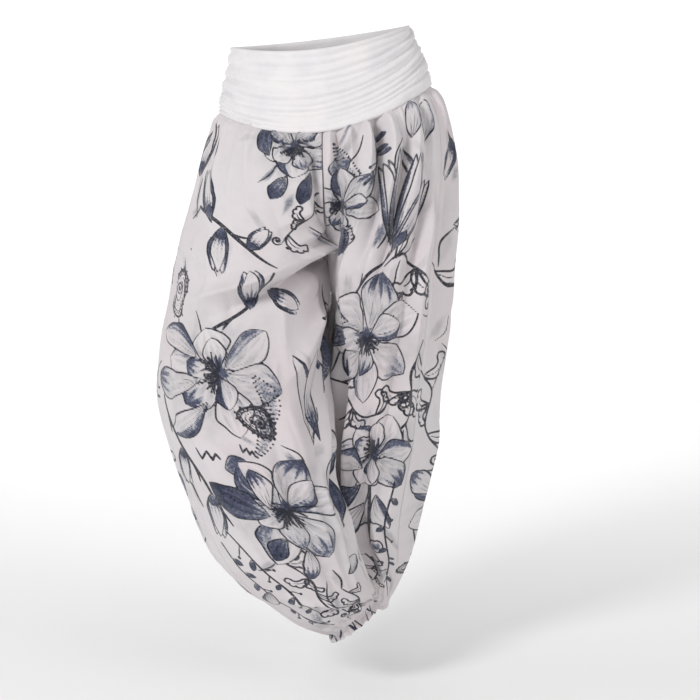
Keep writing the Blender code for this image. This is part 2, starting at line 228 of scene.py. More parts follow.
LEFT_CREASES = (
    # deep folds below the band at the front
    Crease(0.60, 0.000, 0.52, 0.330, 0.004, 0.006, 0.012, -0.016, -0.006),
    Crease(0.66, 0.000, 0.60, 0.560, 0.006, 0.007, 0.018, 0.009, 0.005),
    Crease(0.50, 0.000, 0.44, 0.400, 0.004, 0.008, 0.016, 0.008, 0.004),
    Crease(0.36, 0.010, 0.38, 0.420, 0.006, 0.007, 0.012, -0.014, -0.006),
    Crease(0.28, 0.000, 0.30, 0.460, 0.004, 0.008, 0.018, 0.006, 0.003),
    Crease(0.80, 0.000, 0.72, 0.300, 0.004, 0.006, 0.012, 0.008, 0.003),
    Crease(0.90, 0.000, 0.84, 0.330, 0.002, 0.006, 0.012, -0.009, -0.005),
    Crease(0.16, 0.000, 0.14, 0.300, 0.004, 0.006, 0.014, -0.006, -0.002),
    # hanging folds down the leg
    Crease(0.12, 0.060, 0.22, 0.900, 0.010, 0.014, 0.009, -0.009, -0.004),
    Crease(0.70, 0.330, 0.50, 0.900, 0.008, 0.014, 0.009, -0.012, -0.004),
    Crease(0.58, 0.420, 0.40, 0.900, 0.008, 0.012, 0.008, 0.009, 0.004),
    Crease(0.80, 0.360, 0.62, 0.860, 0.006, 0.010, 0.009, 0.008, 0.004),
    Crease(0.36, 0.460, 0.30, 0.900, 0.006, 0.012, 0.008, -0.008, -0.004),
    Crease(0.22, 0.500, 0.20, 0.900, 0.006, 0.010, 0.008, 0.007, 0.004),
    Crease(0.04, 0.140, 0.10, 0.860, 0.006, 0.010, 0.009, 0.006, 0.003),
    Crease(0.46, 0.600, 0.44, 0.930, 0.002, 0.006, 0.006, 0.006, 0.004),
    Crease(0.90, 0.380, 0.78, 0.800, 0.004, 0.010, 0.009, -0.008, -0.004),
    # beside and behind the side seam
    Crease(-0.08, 0.100, -0.04, 0.640, 0.006, 0.012, 0.016, -0.007, -0.004),
    Crease(-0.16, 0.030, -0.12, 0.560, 0.008, 0.012, 0.018, 0.007, 0.004),
    Crease(-0.30, 0.040, -0.26, 0.600, 0.012, 0.020, 0.022, -0.009, -0.004),
    Crease(-0.14, 0.480, -0.10, 0.900, 0.006, 0.012, 0.009, 0.007, 0.004),
    Crease(-0.24, 0.560, -0.18, 0.900, 0.006, 0.011, 0.008, -0.007, -0.004),
    Crease(-0.40, 0.200, -0.38, 0.820, 0.010, 0.018, 0.014, 0.008, 0.004),
    Crease(-0.55, 0.200, -0.50, 0.840, 0.010, 0.020, 0.014, 0.010, 0.004),
    Crease(-0.48, 0.300, -0.44, 0.860, 0.008, 0.014, 0.010, -0.009, -0.004),
    Crease(-1.00, 0.300, -0.50, 0.460, 0.012, 0.018, 0.026, -0.014, -0.004),
    Crease(-1.00, 0.250, -0.44, 0.350, 0.010, 0.016, 0.026, 0.012, 0.003),
    Crease(-0.78, 0.340, -0.68, 0.800, 0.010, 0.014, 0.012, 0.009, 0.004),
    Crease(-0.90, 0.400, -0.80, 0.860, 0.008, 0.011, 0.009, -0.008, -0.004),
    Crease(-0.88, 0.235, -0.90, 0.480, 0.000, 0.018, 0.018, 0.016, 0.012),
)
# The fine gathers along a seam: how many on half a leg, how far they reach, their width, their lift
Gather = namedtuple("Gather", "count reach width lift")
WAIST_GATHER = Gather(30, 0.115, 0.0040, 0.0036)
CUFF_GATHER = Gather(20, 0.120, 0.0042, 0.0034)
SOFT_CREASES = 46  # faint hanging creases scattered over each leg
SMUDGES = 44  # loose washes under the flowers of a panel

# Ruching of the waistband's front: height of each fold where it leaves the left and the right side
# seam, how far it sags between them, its width and its lift. 0 is the lower edge and 1 the top.
Ruche = namedtuple("Ruche", "left right sag width lift fade_from fade_to")
FRONT_RUCHES = (
    Ruche(0.99, 0.93, 0.020, 0.0040, 0.0026, 0.00, 1.00),
    Ruche(0.95, 0.84, 0.035, 0.0042, 0.0034, 0.00, 0.82),
    Ruche(0.90, 0.76, 0.060, 0.0044, 0.0036, 0.00, 1.00),
    Ruche(0.85, 0.66, 0.070, 0.0042, 0.0030, 0.04, 0.74),
    Ruche(0.80, 0.58, 0.060, 0.0048, 0.0040, 0.00, 1.00),
    Ruche(0.74, 0.47, 0.070, 0.0040, 0.0032, 0.00, 0.90),
    Ruche(0.67, 0.38, 0.060, 0.0046, 0.0038, 0.10, 1.00),
    Ruche(0.60, 0.29, 0.055, 0.0042, 0.0034, 0.00, 1.00),
    Ruche(0.51, 0.20, 0.045, 0.0044, 0.0036, 0.00, 0.70),
    Ruche(0.42, 0.13, 0.030, 0.0040, 0.0030, 0.12, 1.00),
    Ruche(0.30, 0.05, 0.010, 0.0042, 0.0026, 0.00, 1.00),
    Ruche(0.88, 0.71, 0.090, 0.0026, 0.0016, 0.36, 1.00),
    Ruche(0.70, 0.43, 0.085, 0.0026, 0.0016, 0.00, 0.50),
    Ruche(0.56, 0.24, 0.065, 0.0026, 0.0016, 0.40, 1.00),
)
BACK_RUCHES = (
    Ruche(0.93, 0.97, 0.020, 0.0042, 0.0028, 0.00, 1.00),
    Ruche(0.84, 0.90, 0.030, 0.0042, 0.0034, 0.00, 0.86),
    Ruche(0.74, 0.80, 0.040, 0.0046, 0.0036, 0.00, 1.00),
    Ruche(0.63, 0.71, 0.050, 0.0042, 0.0032, 0.14, 1.00),
    Ruche(0.54, 0.61, 0.045, 0.0046, 0.0038, 0.00, 1.00),
    Ruche(0.44, 0.51, 0.040, 0.0042, 0.0034, 0.00, 0.80),
    Ruche(0.34, 0.40, 0.030, 0.0044, 0.0036, 0.00, 1.00),
    Ruche(0.24, 0.30, 0.025, 0.0042, 0.0032, 0.10, 1.00),
    Ruche(0.15, 0.19, 0.020, 0.0042, 0.0034, 0.00, 1.00),
    Ruche(0.06, 0.09, 0.008, 0.0040, 0.0024, 0.00, 1.00),
)


def smooth(knots, values, at):
    """Reads a smooth curve through the knots."""
    knots = np.asarray(knots, float)
    values = np.asarray(values, float)
    slopes = np.gradient(values, knots)
    at = np.clip(at, knots[0], knots[-1])
    i = np.clip(np.searchsorted(knots, at, side="right") - 1, 0, len(knots) - 2)
    step = knots[i + 1] - knots[i]
    t = (at - knots[i]) / step
    start = (1 + 2 * t) * (1 - t) ** 2 * values[i] + t * (1 - t) ** 2 * step * slopes[i]
    end = t * t * (3 - 2 * t) * values[i + 1] + t * t * (t - 1) * step * slopes[i + 1]
    return start + end


def ramp(x):
    """A soft step from 0 to 1."""
    x = np.clip(x, 0, 1)
    return x * x * (3 - 2 * x)


def grain(x, seed):
    """Uneven values along a line, between about -1 and 1."""
    return (
        0.5 * np.sin(7.1 * x + seed)
        + 0.3 * np.sin(15.7 * x + 1.7 * seed + 1.0)
        + 0.2 * np.sin(33.3 * x + 2.3 * seed + 2.0)
    )


def leg_rings(side):
    """Every ring of one leg, hips first, as columns by name."""
    rows = []
    for hips in HIPS:
        reach = hips.right + hips.rise_x if side == RIGHT else hips.left - hips.rise_x
        rows.append(
            (hips.down, hips.rise_x, hips.y, hips.rise_z, reach, hips.deep, hips.lean, hips.dip, hips.shut)
        )
    for leg in RIGHT_LEG if side == RIGHT else LEFT_LEG:
        rows.append((*leg, 0.0, 1.0))
    names = (*Leg._fields, "dip", "shut")
    return dict(zip(names, np.array(rows).T))


def kept_apart(points, side):
    """Presses the legs flat where they would meet behind one another."""
    x, y, z = points
    heights = [row.z for row in PARTING]
    turn = np.radians(smooth(heights, [row.turn for row in PARTING], z))
    across = smooth(heights, [row.x for row in PARTING], z)
    ahead = (x - across) * np.cos(turn) + y * np.sin(turn)
    beyond = (ahead * -side + PARTING_AIR) / PARTING_ROUND
    pressed = -PARTING_ROUND * np.logaddexp(0, -beyond)
    shift = (pressed - PARTING_ROUND * beyond) * -side * ramp((PARTING_TOP - z) / PARTING_FADE)
    return np.array((x + shift * np.cos(turn), y + shift * np.sin(turn), z))


def leg_form(side, turn, down):
    """The leg's form without folds. turn runs round it, from the side seam to the inner seam."""
    rings = leg_rings(side)
    ring = {name: smooth(rings["down"], rings[name], down) for name in rings}
    ring["shut"] = np.clip(ring["shut"], 0, 1)
    names = LEG_NAMES[side]
    twist = np.radians(smooth([row.down for row in TWIST], [getattr(row, names) for row in TWIST], down))
    angle = np.where(turn > 0, twist + (math.pi - twist) * turn, twist + (math.pi + twist) * turn)
    half = ring["wide"] / 2
    out = (1 - ring["shut"]) * ring["wide"] * np.cos(angle / 2) + ring["shut"] * half * (1 + np.cos(angle))
    forward = (1 - ring["shut"]) * np.sin(angle / 2) + ring["shut"] * np.sin(angle)
    drop = ring["dip"] * np.sin(angle / 2) ** 2 * np.where(angle > 0, 1.0, 0.42)
    lean = np.radians(ring["lean"])
    out = out + EDGE
    x = ring["inner_x"] + side * out * np.cos(lean)
    z = ring["inner_z"] + side * out * np.sin(lean) - drop
    return kept_apart((x, ring["y"] - ring["deep"] * forward, z), side)


def band_form(angle, rise):
    """The band's smooth outer face: angle runs from the wearer's left side round the front."""
    steps = np.linspace(0, 1, len(BAND))
    row = {name: smooth(steps, [getattr(band, name) for band in BAND], rise) for name in Band._fields}
    reach = np.where(np.cos(angle) > 0, row["left"], row["right"])
    x = row["x"] + reach * np.cos(angle)
    y = row["y"] - row["deep"] * np.sin(angle)
    drop = np.where(np.sin(angle) > 0, row["dip"], row["back_dip"]) * np.sin(angle) ** 2
    z = row["z"] - drop
    return np.array((x, y, z + x * math.tan(ROLL)))


def cuff_form(side, turn, along):
    """The cuff, a ring that carries on from the leg's end and flares a little."""
    rings = leg_rings(side)
    end = {name: values[-1] for name, values in rings.items()}
    lean = math.radians(end["lean"])
    middle = end["wide"] / 2
    angle = math.pi * turn
    flare = 1 + (CUFF_FLARE - 1) * along**2
    out = middle + middle * np.cos(angle) * flare
    away = SEAM + CUFF_HEIGHT * along
    x = end["inner_x"] + side * out * math.cos(lean) + away * math.sin(lean)
    z = end["inner_z"] + side * out * math.sin(lean) - away * math.cos(lean)
    y = end["y"] - end["deep"] * np.sin(angle) * flare
    return kept_apart((x, y, z), side)


def half_girths(side):
    """How far it is round the front and round the back of a leg, at even steps down it."""
    downs = np.linspace(0, leg_rings(side)["down"][-1], 60)
    turn, down = np.meshgrid(np.linspace(0, 1, 50), downs)
    found = []
    for face in (1, -1):
        points = leg_form(side, face * turn, down)
        found.append(np.linalg.norm(np.diff(points, axis=2), axis=0).sum(axis=1))
    return downs, found[0], found[1]


def around(girths, turn, down):
    """Distance round the leg from its side seam, in metres: more than 0 round the front."""
    downs, front, back = girths
    return turn * np.where(turn > 0, np.interp(down, downs, front), np.interp(down, downs, back))


def crease_lift(creases, girths, turn, down):
    """How far the creases lift the cloth off the leg's form."""
    lift = np.zeros_like(turn)
    end = girths[0][-1]
    for crease in creases:
        middle = (crease.down + crease.down_end) / 2
        start = around(girths, crease.turn, middle)
        run = np.array((around(girths, crease.turn_end, middle) - start, crease.down_end - crease.down))
        length = np.hypot(*run)
        run = run / length
        most = 3 * max(crease.width, crease.width_end) + abs(crease.bend)
        low = min(crease.down, crease.down_end) - most
        high = max(crease.down, crease.down_end) + most
        near = (down > low) & (down < high)
        s = around(girths, turn[near], middle) - start
        d = down[near] - crease.down
        along = (s * run[0] + d * run[1]) / length
        held = np.clip(along, 0, 1)
        aside = s * run[1] - d * run[0] - crease.bend * np.sin(math.pi * held)
        width = crease.width + (crease.width_end - crease.width) * held
        height = crease.lift + (crease.lift_end - crease.lift) * held
        on_seam = crease.down < 0.001 or crease.down > end - 0.001
        first = 1.0 if on_seam or abs(crease.turn) > 0.99 else ramp(along / 0.22)
        last = ramp((1 - along) / 0.45)
        lift[near] += height * first * last * np.exp(-(np.abs(aside / width) ** 1.5))
    return lift


def gathers(gather, side, face, rng):
    """The fine uneven gathers of half a leg, from the waist or up from the cuff."""
    end = leg_rings(side)["down"][-1]
    at_waist = gather is WAIST_GATHER
    made = []
    for k in range(gather.count):
        turn = face * (k + 0.5 + rng.uniform(-0.32, 0.32)) / gather.count
        length = gather.reach * (0.30 + 1.3 * rng.random() ** 1.8)
        aside = turn + rng.normal(0, 0.018)
        height = gather.lift * rng.uniform(0.55, 1.25)
        width = gather.width * rng.uniform(0.8, 1.25)
        first, last = (0.0, length) if at_waist else (end, end - length)
        made.append(Crease(turn, first, aside, last, rng.normal(0, 0.002), width, 2.6 * width, height, 0.0))
    return made


def soft_creases(rng):
    """Faint hanging creases, scattered over the whole leg."""
    made = []
    for k in range(SOFT_CREASES):
        turn = -0.98 + 1.96 * (k + rng.random()) / SOFT_CREASES
        start = rng.uniform(0.06, 0.70)
        length = rng.uniform(0.08, 0.26)
        width = rng.uniform(0.005, 0.012)
        height = rng.choice((-1, 1)) * rng.uniform(0.0012, 0.0032)
        aside = turn + rng.normal(0, 0.05)
        made.append(
            Crease(turn, start, aside, min(start + length, 0.93), rng.normal(0, 0.006), width, width, height, height)
        )
    return made


def outward(points):
    """Unit normals of a grid of points, rows by columns by 3, and as they stand."""
    rows = np.gradient(points, axis=0)
    columns = np.gradient(points, axis=1)
    out = np.cross(columns, rows)
    return out / np.maximum(np.linalg.norm(out, axis=2), 1e-12)[:, :, None]


def lowest_nearby(values, reach):
    """The least value within reach points of each point."""
    for axis in (0, 1):
        pad = [(0, 0), (0, 0)]
        pad[axis] = (reach, reach)
        padded = np.pad(values, pad, mode="edge")
        count = values.shape[axis]
        values = np.min([np.take(padded, range(k, k + count), axis=axis) for k in range(2 * reach + 1)], axis=0)
    return values


# A magnolia's two rounds of petals, in parts of its size: where they point, their washes and their reach
Petals = namedtuple("Petals", "angles washes start long wide bend navy grey")
BACK_PETALS = Petals(
    (0.15, 1.25, 2.30, 3.30, 4.35, 5.40), ("tip", "edge", "base", "far_edge", "tip", "base"),
    0.10, (0.82, 1.22), (0.58, 0.76), 0.10, 0.95, 0.62,
)
NEAR_PETALS = Petals((0.75, 1.85, 4.90), ("tip", "base", "edge"), 0.06, (0.62, 0.78), (0.42, 0.54), 0.16, 1.0, 0.66)


class Dye:
    """The print on one panel, kept at the cloth's own points: ink lines, a navy wash and a grey wash."""

    SOFT = 0.0022  # how softly an edge fades, about the spacing of the cloth's points
    LACE = 0.0065  # spacing of the lace's rows of dots

    def __init__(self, x, y):
        self.x, self.y = x, y
        self.rows = y[:, 0]
        self.ink = np.zeros_like(x)
        self.navy = np.zeros_like(x)
        self.grey = np.zeros_like(x)

    def near(self, points, margin):
        """Indices of the cloth's points round a shape, and where they are."""
        low, high = points.min(axis=0) - margin, points.max(axis=0) + margin
        first, last = np.searchsorted(self.rows, (low[1], high[1]))
        x = self.x[first:last]
        found = np.nonzero((x > low[0]) & (x < high[0]))
        index = (found[0] + first, found[1])
        return index, np.c_[self.x[index], self.y[index]]

    def stroke(self, points, width, thin=0.35, thin_end=None, tone=1.0, steps=7):
        """An inked line through the points, of that width in its middle and thinner at its ends."""
        line, along = curve(points, steps)
        thin_end = thin if thin_end is None else thin_end
        swell = np.sin(math.pi * np.clip(along, 0.001, 0.999)) ** 0.6
        ends = thin + (thin_end - thin) * along
        half = width / 2 * (ends + (1 - ends) * swell)
        index, at = self.near(line, width + self.SOFT)
        deepen(self.ink, index, tone * cover(line_distance(at, line, half)))

    def blot(self, centre, wide, tall=None, turn=0.0):
        """A round or oval spot of ink."""
        tall = wide if tall is None else tall
        index, at = self.near(np.array([centre]), max(wide, tall))
        local = turned(at - centre, -turn) / (wide / 2, tall / 2)
        deepen(self.ink, index, cover((np.linalg.norm(local, axis=1) - 1) * min(wide, tall) / 2))

    def ring(self, centre, size, width, wash):
        """An outlined circle, washed inside."""
        angle = np.linspace(0, 2 * math.pi, 17)
        self.pool(centre, 1.7 * size, 1.7 * size, 0.0, wash, 0.0)
        self.stroke(np.array(centre) + size * np.c_[np.cos(angle), np.sin(angle)], width, thin=0.9)

    def pool(self, centre, wide, tall, turn, navy, grey):
        """A soft-edged pool of wash."""
        index, at = self.near(np.array([centre]), max(wide, tall))
        local = turned(at - centre, -turn) / (wide / 2, tall / 2)
        radius = np.linalg.norm(local, axis=1)
        angle = np.arctan2(local[:, 1], local[:, 0])
        depth = ramp((1.15 + 0.2 * grain(angle / 2, centre[0] * 90) - radius) / 0.8)
        deepen(self.navy, index, navy * depth)
        deepen(self.grey, index, grey * depth)

    def petal(
        self, base, tip, wide, wash, belly=0.58, bend=0.0, navy=0.8, grey=0.25, line=0.0026, seed=1.0, veins=3
    ):
        """One petal or leaf: its outline, its brushed wash and its veins. It covers what lies under it."""
        base, tip = np.array(base, float), np.array(tip, float)
        long = np.hypot(*(tip - base))
        ahead = (tip - base) / long
        side = np.array((-ahead[1], ahead[0]))
        s = np.linspace(0, 1, 24)
        power = math.log(0.5) / math.log(belly)
        half = wide / 2 * np.sin(math.pi * s**power) ** 0.78
        half_wavy = half * (1 + 0.08 * np.sin(11 * s + seed * 3.0) + 0.04 * np.sin(23 * s + seed * 5.0))
        middle = base + np.outer(s * long, ahead) + np.outer(bend * long * np.sin(math.pi * s), side)
        left = middle + side * half_wavy[:, None]
        right = middle - side * (half * (1 + 0.07 * np.sin(9 * s + seed * 2.0)))[:, None]
        outline = np.concatenate([left, right[::-1]])
        index, at = self.near(outline, 2 * self.SOFT)
        inside = cover(loop_distance(at, outline))
        local = at - base
        u = np.clip(local @ ahead / long, 0, 1)
        v = (local @ side - bend * long * np.sin(math.pi * u)) / np.maximum(np.interp(u, s, half), 0.002)
        streak = grain(1.6 * v + 0.3 * u, seed * 4.0)
        if wash == "full":
            depth = 0.34 + 0.66 * ramp(0.15 + 0.95 * u + 0.30 * streak)
        else:
            starts = {
                "tip": (u - 0.50 - 0.20 * streak) / 0.46,
                "base": (0.52 + 0.20 * streak - u) / 0.46,
                "edge": (v - 0.25 - 0.30 * streak) / 0.45,
                "far_edge": (-v - 0.25 - 0.30 * streak) / 0.45,
            }
            depth = ramp(starts[wash])
        pale = ramp((1.0 - u + 0.35 * streak) / 0.7) * (0.80 + 0.45 * grain(1.1 * v + 2.0 * u, seed))
        for layer in (self.ink, self.navy, self.grey):
            layer[index] *= 1 - inside
        deepen(self.navy, index, inside * np.clip(navy * depth, 0, 1))
        deepen(self.grey, index, inside * np.clip(grey * pale, 0, 1))
        self.stroke(np.append(left[::3], left[-1:], axis=0), line, thin=0.30, thin_end=0.6)
        self.stroke(np.append(right[::3], right[-1:], axis=0), line * 0.85, thin=0.55, thin_end=0.4)
        for k in range(veins):
            lean = (k - (veins - 1) / 2) / max(veins, 1)
            reach = 0.46 + 0.2 * grain(k * 1.3, seed)
            points = []
            for q in (0.06, 0.06 + reach / 2, 0.06 + reach):
                aside = lean * wide * 0.62 * math.sin(math.pi * q * 0.8) + bend * long * math.sin(math.pi * q)
                points.append(base + ahead * long * q + side * aside)
            self.stroke(points, line * 0.62, thin=0.5, thin_end=0.15, tone=0.8)

    def tuft(self, centre, size, turn, spread, count, rng):
        """A spiky head of stamens."""
        for k in range(count):
            angle = turn + spread * ((k + 0.5) / count - 0.5) + rng.normal(0, 0.05)
            long = size * rng.uniform(0.65, 1.05)
            way = np.array((math.cos(angle), math.sin(angle)))
            bow = 0.12 * long * rng.uniform(-1, 1) * np.array((-way[1], way[0]))
            start = np.array(centre) + 0.12 * size * way
            self.stroke([start, centre + 0.6 * long * way + bow, centre + long * way], 0.0030, thin=0.9, thin_end=0.3)
            if k % 2:
                self.blot(centre + long * way, 0.0034)
        self.pool(centre, size * 0.9, size * 0.9, 0.0, 0.85, 0.3)

    def magnolia(self, centre, size, turn, rng, front=0.0):
        """An open magnolia: a ring of back petals, nearer petals over them and a dark tuft of stamens."""
        centre = np.array(centre, float)
        self.pool(centre, 2.7 * size, 2.2 * size, turn, 0.0, 0.42)
        for petals in (BACK_PETALS, NEAR_PETALS):
            lean = turn if petals is BACK_PETALS else turn + front
            for angle, wash in zip(petals.angles, petals.washes):
                way = turned(np.array([[1.0, 0.0]]), lean + angle + rng.normal(0, 0.10))[0]
                tip = centre + size * rng.uniform(*petals.long) * way
                wide = size * rng.uniform(*petals.wide)
                self.petal(
                    centre + petals.start * size * way, tip, wide, wash, bend=rng.uniform(-petals.bend, petals.bend),
                    navy=rng.uniform(0.35, petals.navy), grey=petals.grey, seed=rng.uniform(0, 9),
                )
        self.tuft(centre, 0.40 * size, turn + 1.0, 2.6, 17, rng)

    def bud(self, base, tip, wide, rng, navy=0.9):
        """A closed bud of three long petals in its dark cup."""
        base, tip = np.array(base, float), np.array(tip, float)
        side = turned((tip - base)[None], math.pi / 2)[0] / np.hypot(*(tip - base))
        for shift, wash, wider in ((0.45, "edge", 0.62), (-0.45, "far_edge", 0.62), (0.0, "base", 0.80)):
            self.petal(
                base + 0.25 * shift * wide * side, tip + shift * wide * side * 0.55, wide * wider, wash, belly=0.45,
                bend=0.06 * shift, navy=navy, grey=0.25, seed=rng.uniform(0, 9), veins=1, line=0.0022,
            )
        cup = base + 0.26 * (tip - base)
        self.petal(
            base - 0.05 * (tip - base), cup, wide * 0.62, "full", belly=0.6, navy=1.0, seed=2.0, veins=0, line=0.0024
        )

    def branch(self, points, width, rng):
        """A brushed branch with knots."""
        self.stroke(points, width, thin=0.6, thin_end=0.25)
        line, _ = curve(points, 6)
        for k in range(3, len(line) - 3, 7):
            way = line[k] - line[k - 2]
            side = np.array((-way[1], way[0])) / max(np.hypot(*way), 1e-6) * rng.choice((-1, 1))
            tip = line[k] + side * width * rng.uniform(1.2, 2.4) + way * 0.8
            self.stroke([line[k - 1], (line[k] + tip) / 2 + side * 0.0006, tip], 0.55 * width, thin=0.8, thin_end=0.2)

    def curl(self, start, size, turn, hand, width=0.0026, turns=1.35):
        """A tendril that winds into a spiral."""
        q = np.linspace(0, 1, 14)
        angle = turn + hand * q * turns * 2 * math.pi
        radius = size * (1 - q) ** 0.75 + size * 0.06
        points = np.c_[np.cos(angle), np.sin(angle)] * radius[:, None]
        points += np.array(start) - points[0]
        self.stroke(points, width, thin=0.5, thin_end=0.9, steps=4)
        self.blot(points[-1], width * 1.7)

    def acanthus(self, points, size, rng, width=0.0031):
        """A scroll of acanthus: a curving stem with lobed, outlined leaves that curl from it."""
        line, _ = curve(points, 8)
        self.stroke(points, width * 1.1, thin=0.7, thin_end=0.4)
        way = np.gradient(line, axis=0)
        way /= np.linalg.norm(way, axis=1)[:, None]
        far = travelled(line)
        spacing = 1.15 * size
        for k in range(int(far[-1] / spacing) + 1):
            i = min(int(np.searchsorted(far, (k + 0.3) * spacing)), len(line) - 1)
            hand = 1 if k % 2 else -1
            long = size * rng.uniform(0.75, 1.15)
            angle = math.atan2(way[i][1], way[i][0]) + hand * rng.uniform(0.75, 1.15)
            if k % 3 == 1:
                self.leaf(line[i], 0.95 * long, angle, hand, width)
            else:
                self.frond(line[i], 0.95 * long, angle, hand, width)
        self.curl(line[-1], 0.24 * size, math.atan2(way[-1][1], way[-1][0]) - math.pi / 2, 1, width)

    def frond(self, base, long, angle, hand, width):
        """One scroll leaf: a hooked crescent with scalloped lobes round its tip, and a rib."""
        ahead = np.array((math.cos(angle), math.sin(angle)))
        side = hand * np.array((-ahead[1], ahead[0]))

        def place(shape):
            shape = np.array(shape)
            return np.array(base) + long * (np.outer(shape[:, 0], ahead) + np.outer(shape[:, 1], side))

        arcs = (
            ((0, 0), (0.18, -0.20), (0.42, -0.33), (0.64, -0.31)),
            ((0.62, -0.37), (0.78, -0.36), (0.88, -0.24), (0.86, -0.12)),
            ((0.87, -0.18), (1.02, -0.10), (1.06, 0.04), (0.98, 0.15)),
            ((1.03, 0.09), (1.09, 0.26), (1.01, 0.40), (0.84, 0.47)),
            ((0.84, 0.47), (0.75, 0.34), (0.72, 0.16), (0.56, 0.05), (0.30, 0.03), (0, 0)),
        )
        for arc in arcs:
            self.stroke(place(arc), width, thin=0.8, steps=5)
        rib = ((0.18, -0.09), (0.44, -0.15), (0.66, -0.11), (0.80, 0.03))
        self.stroke(place(rib), width * 0.5, thin=0.7, thin_end=0.3)

    def leaf(self, base, long, angle, hand, width):
        """A scroll's pair of leaves that curl away from each other."""
        for lean, size in ((-0.60, 0.85), (0.52, 1.0)):
            self.frond(base, long * size, angle + hand * lean, hand if lean > 0 else -hand, width)

    def paisley(self, centre, size, turn):
        """A paisley with a beaded border and a curl inside it."""
        centre = np.array(centre, float)
        q = np.linspace(0, 2 * math.pi, 25)
        shape = np.c_[np.cos(q) * (0.62 + 0.20 * np.sin(q)), np.sin(q) * 0.95]
        shape[:, 0] += 0.42 * np.clip(shape[:, 1], 0, 1) ** 2
        for scale, width in ((1.0, 0.0034), (0.80, 0.0020), (0.42, 0.0022)):
            self.stroke(centre + turned(shape * scale * size / 2, turn), width, thin=0.8, steps=3)
        for k in range(26):
            bead = reached(k * 24 / 26, range(25), shape)[None]
            for scale, dot in ((0.9, 0.0028), (1.13, 0.0036), (0.62, 0.0022)):
                if scale < 1 or k % 2:
                    self.blot(centre + turned(bead * scale * size / 2, turn)[0], dot)
        self.curl(centre + turned(np.array([[0.12, -0.06]]) * size, turn)[0], 0.13 * size, turn, 1, 0.0026, 1.6)

    def lace(self, points, wide, rng):
        """A band of lace dots and scallops."""
        line, _ = curve(points, 8)
        far = travelled(line)
        count = int(far[-1] / self.LACE)
        for k in range(count):
            at = reached(k * self.LACE, far, line)
            ahead = reached((k + 1) * self.LACE, far, line) - at
            side = np.array((-ahead[1], ahead[0])) / max(np.hypot(*ahead), 1e-6)
            taper = math.sin(math.pi * (k + 0.5) / count) ** 0.7
            for row in (-1, -0.45, 0.1, 0.6, 1):
                size = 0.0034 if abs(row) == 1 else 0.0024
                self.blot(at + side * row * wide / 2 * taper + rng.normal(0, 0.0003, 2), size)
            self.pool(at, 0.9 * wide * taper + 0.004, 0.010, 0.0, 0.30, 0.1)

    def zigzag(self, centre, size, turn):
        """A quick zigzag brush mark."""
        points = [(-1, -0.5), (-0.55, 0.5), (-0.1, -0.35), (0.35, 0.5), (0.6, -0.2), (1, 0.35)]
        points = np.array(centre) + turned(np.array(points) * size / 2, turn)
        for first, last in zip(points[:-1], points[1:]):
            self.stroke([first, last], 0.0030, thin=0.6, thin_end=0.5)

    def twig(self, points, rng, count=7):
        """A twig with small dark leaves and berries."""
        self.stroke(points, 0.0030, thin=0.7, thin_end=0.3)
        line, _ = curve(points, 6)
        for k in range(count):
            i = 2 + int((len(line) - 4) * (k + 0.5) / count)
            way = line[i] - line[i - 2]
            angle = math.atan2(way[1], way[0]) + rng.choice((-1, 1)) * rng.uniform(0.6, 1.1)
            long = rng.uniform(0.012, 0.022)
            tip = line[i] + long * np.array((math.cos(angle), math.sin(angle)))
            if rng.random() < 0.6:
                self.petal(line[i], tip, long * 0.42, "full", navy=0.9, line=0.0020, seed=rng.uniform(0, 9), veins=0)
            else:
                self.stroke([line[i], tip], 0.0022)
                self.blot(tip, 0.0046, 0.0058, angle)


def deepen(layer, index, depth):
    """Dyes a layer at those points, where it isn't already deeper."""
    layer[index] = np.maximum(layer[index], depth)


def travelled(line):
    """How far along a line each of its points is."""
    return np.concatenate([[0], np.cumsum(np.linalg.norm(np.diff(line, axis=0), axis=1))])


def reached(distance, far, line):
    """The point at that distance along a line."""
    return np.array([np.interp(distance, far, line[:, 0]), np.interp(distance, far, line[:, 1])])


def turned(points, angle):
    """Points turned about the origin."""
    c, s = math.cos(angle), math.sin(angle)
    return points @ np.array(((c, s), (-s, c)))


def curve(points, steps):
    """A smooth line through the points, and how far along it each of its own points is."""
    points = np.asarray(points, float)
    if len(points) == 2:
        points = np.array([points[0], points.mean(axis=0), points[1]])
    knots = np.arange(len(points))
    at = np.linspace(0, len(points) - 1, steps * (len(points) - 1) + 1)
    line = np.c_[smooth(knots, points[:, 0], at), smooth(knots, points[:, 1], at)]
    return line, at / at[-1]


def line_distance(at, line, half):
    """Signed distance from each point to a line of changing half width."""
    first, step = line[:-1], np.diff(line, axis=0)
    long = np.maximum((step**2).sum(axis=1), 1e-12)
    away = at[:, None, :] - first[None]
    q = np.clip((away * step[None]).sum(axis=2) / long, 0, 1)
    gap = np.linalg.norm(away - q[:, :, None] * step[None], axis=2)
    return (gap - (half[:-1] + (half[1:] - half[:-1]) * q)).min(axis=1)


def loop_distance(at, loop):
    """Signed distance from each point to a closed outline, less than 0 inside it."""
    closed = np.concatenate([loop, loop[:1]])
    edge = line_distance(at, closed, np.zeros(len(closed)))
    x, y = at[:, 0][:, None], at[:, 1][:, None]
    x0, y0, x1, y1 = closed[:-1, 0], closed[:-1, 1], closed[1:, 0], closed[1:, 1]
    rise = np.where(np.abs(y1 - y0) < 1e-12, 1e-12, y1 - y0)
    crosses = ((y0 > y) != (y1 > y)) & (x < (x1 - x0) * (y - y0) / rise + x0)
    inside = crosses.sum(axis=1) % 2 == 1
    return np.where(inside, -edge, edge)


def cover(distance):
    """How much of the cloth at a point the shape covers."""
    return np.clip(0.5 - distance / (2 * Dye.SOFT), 0, 1)


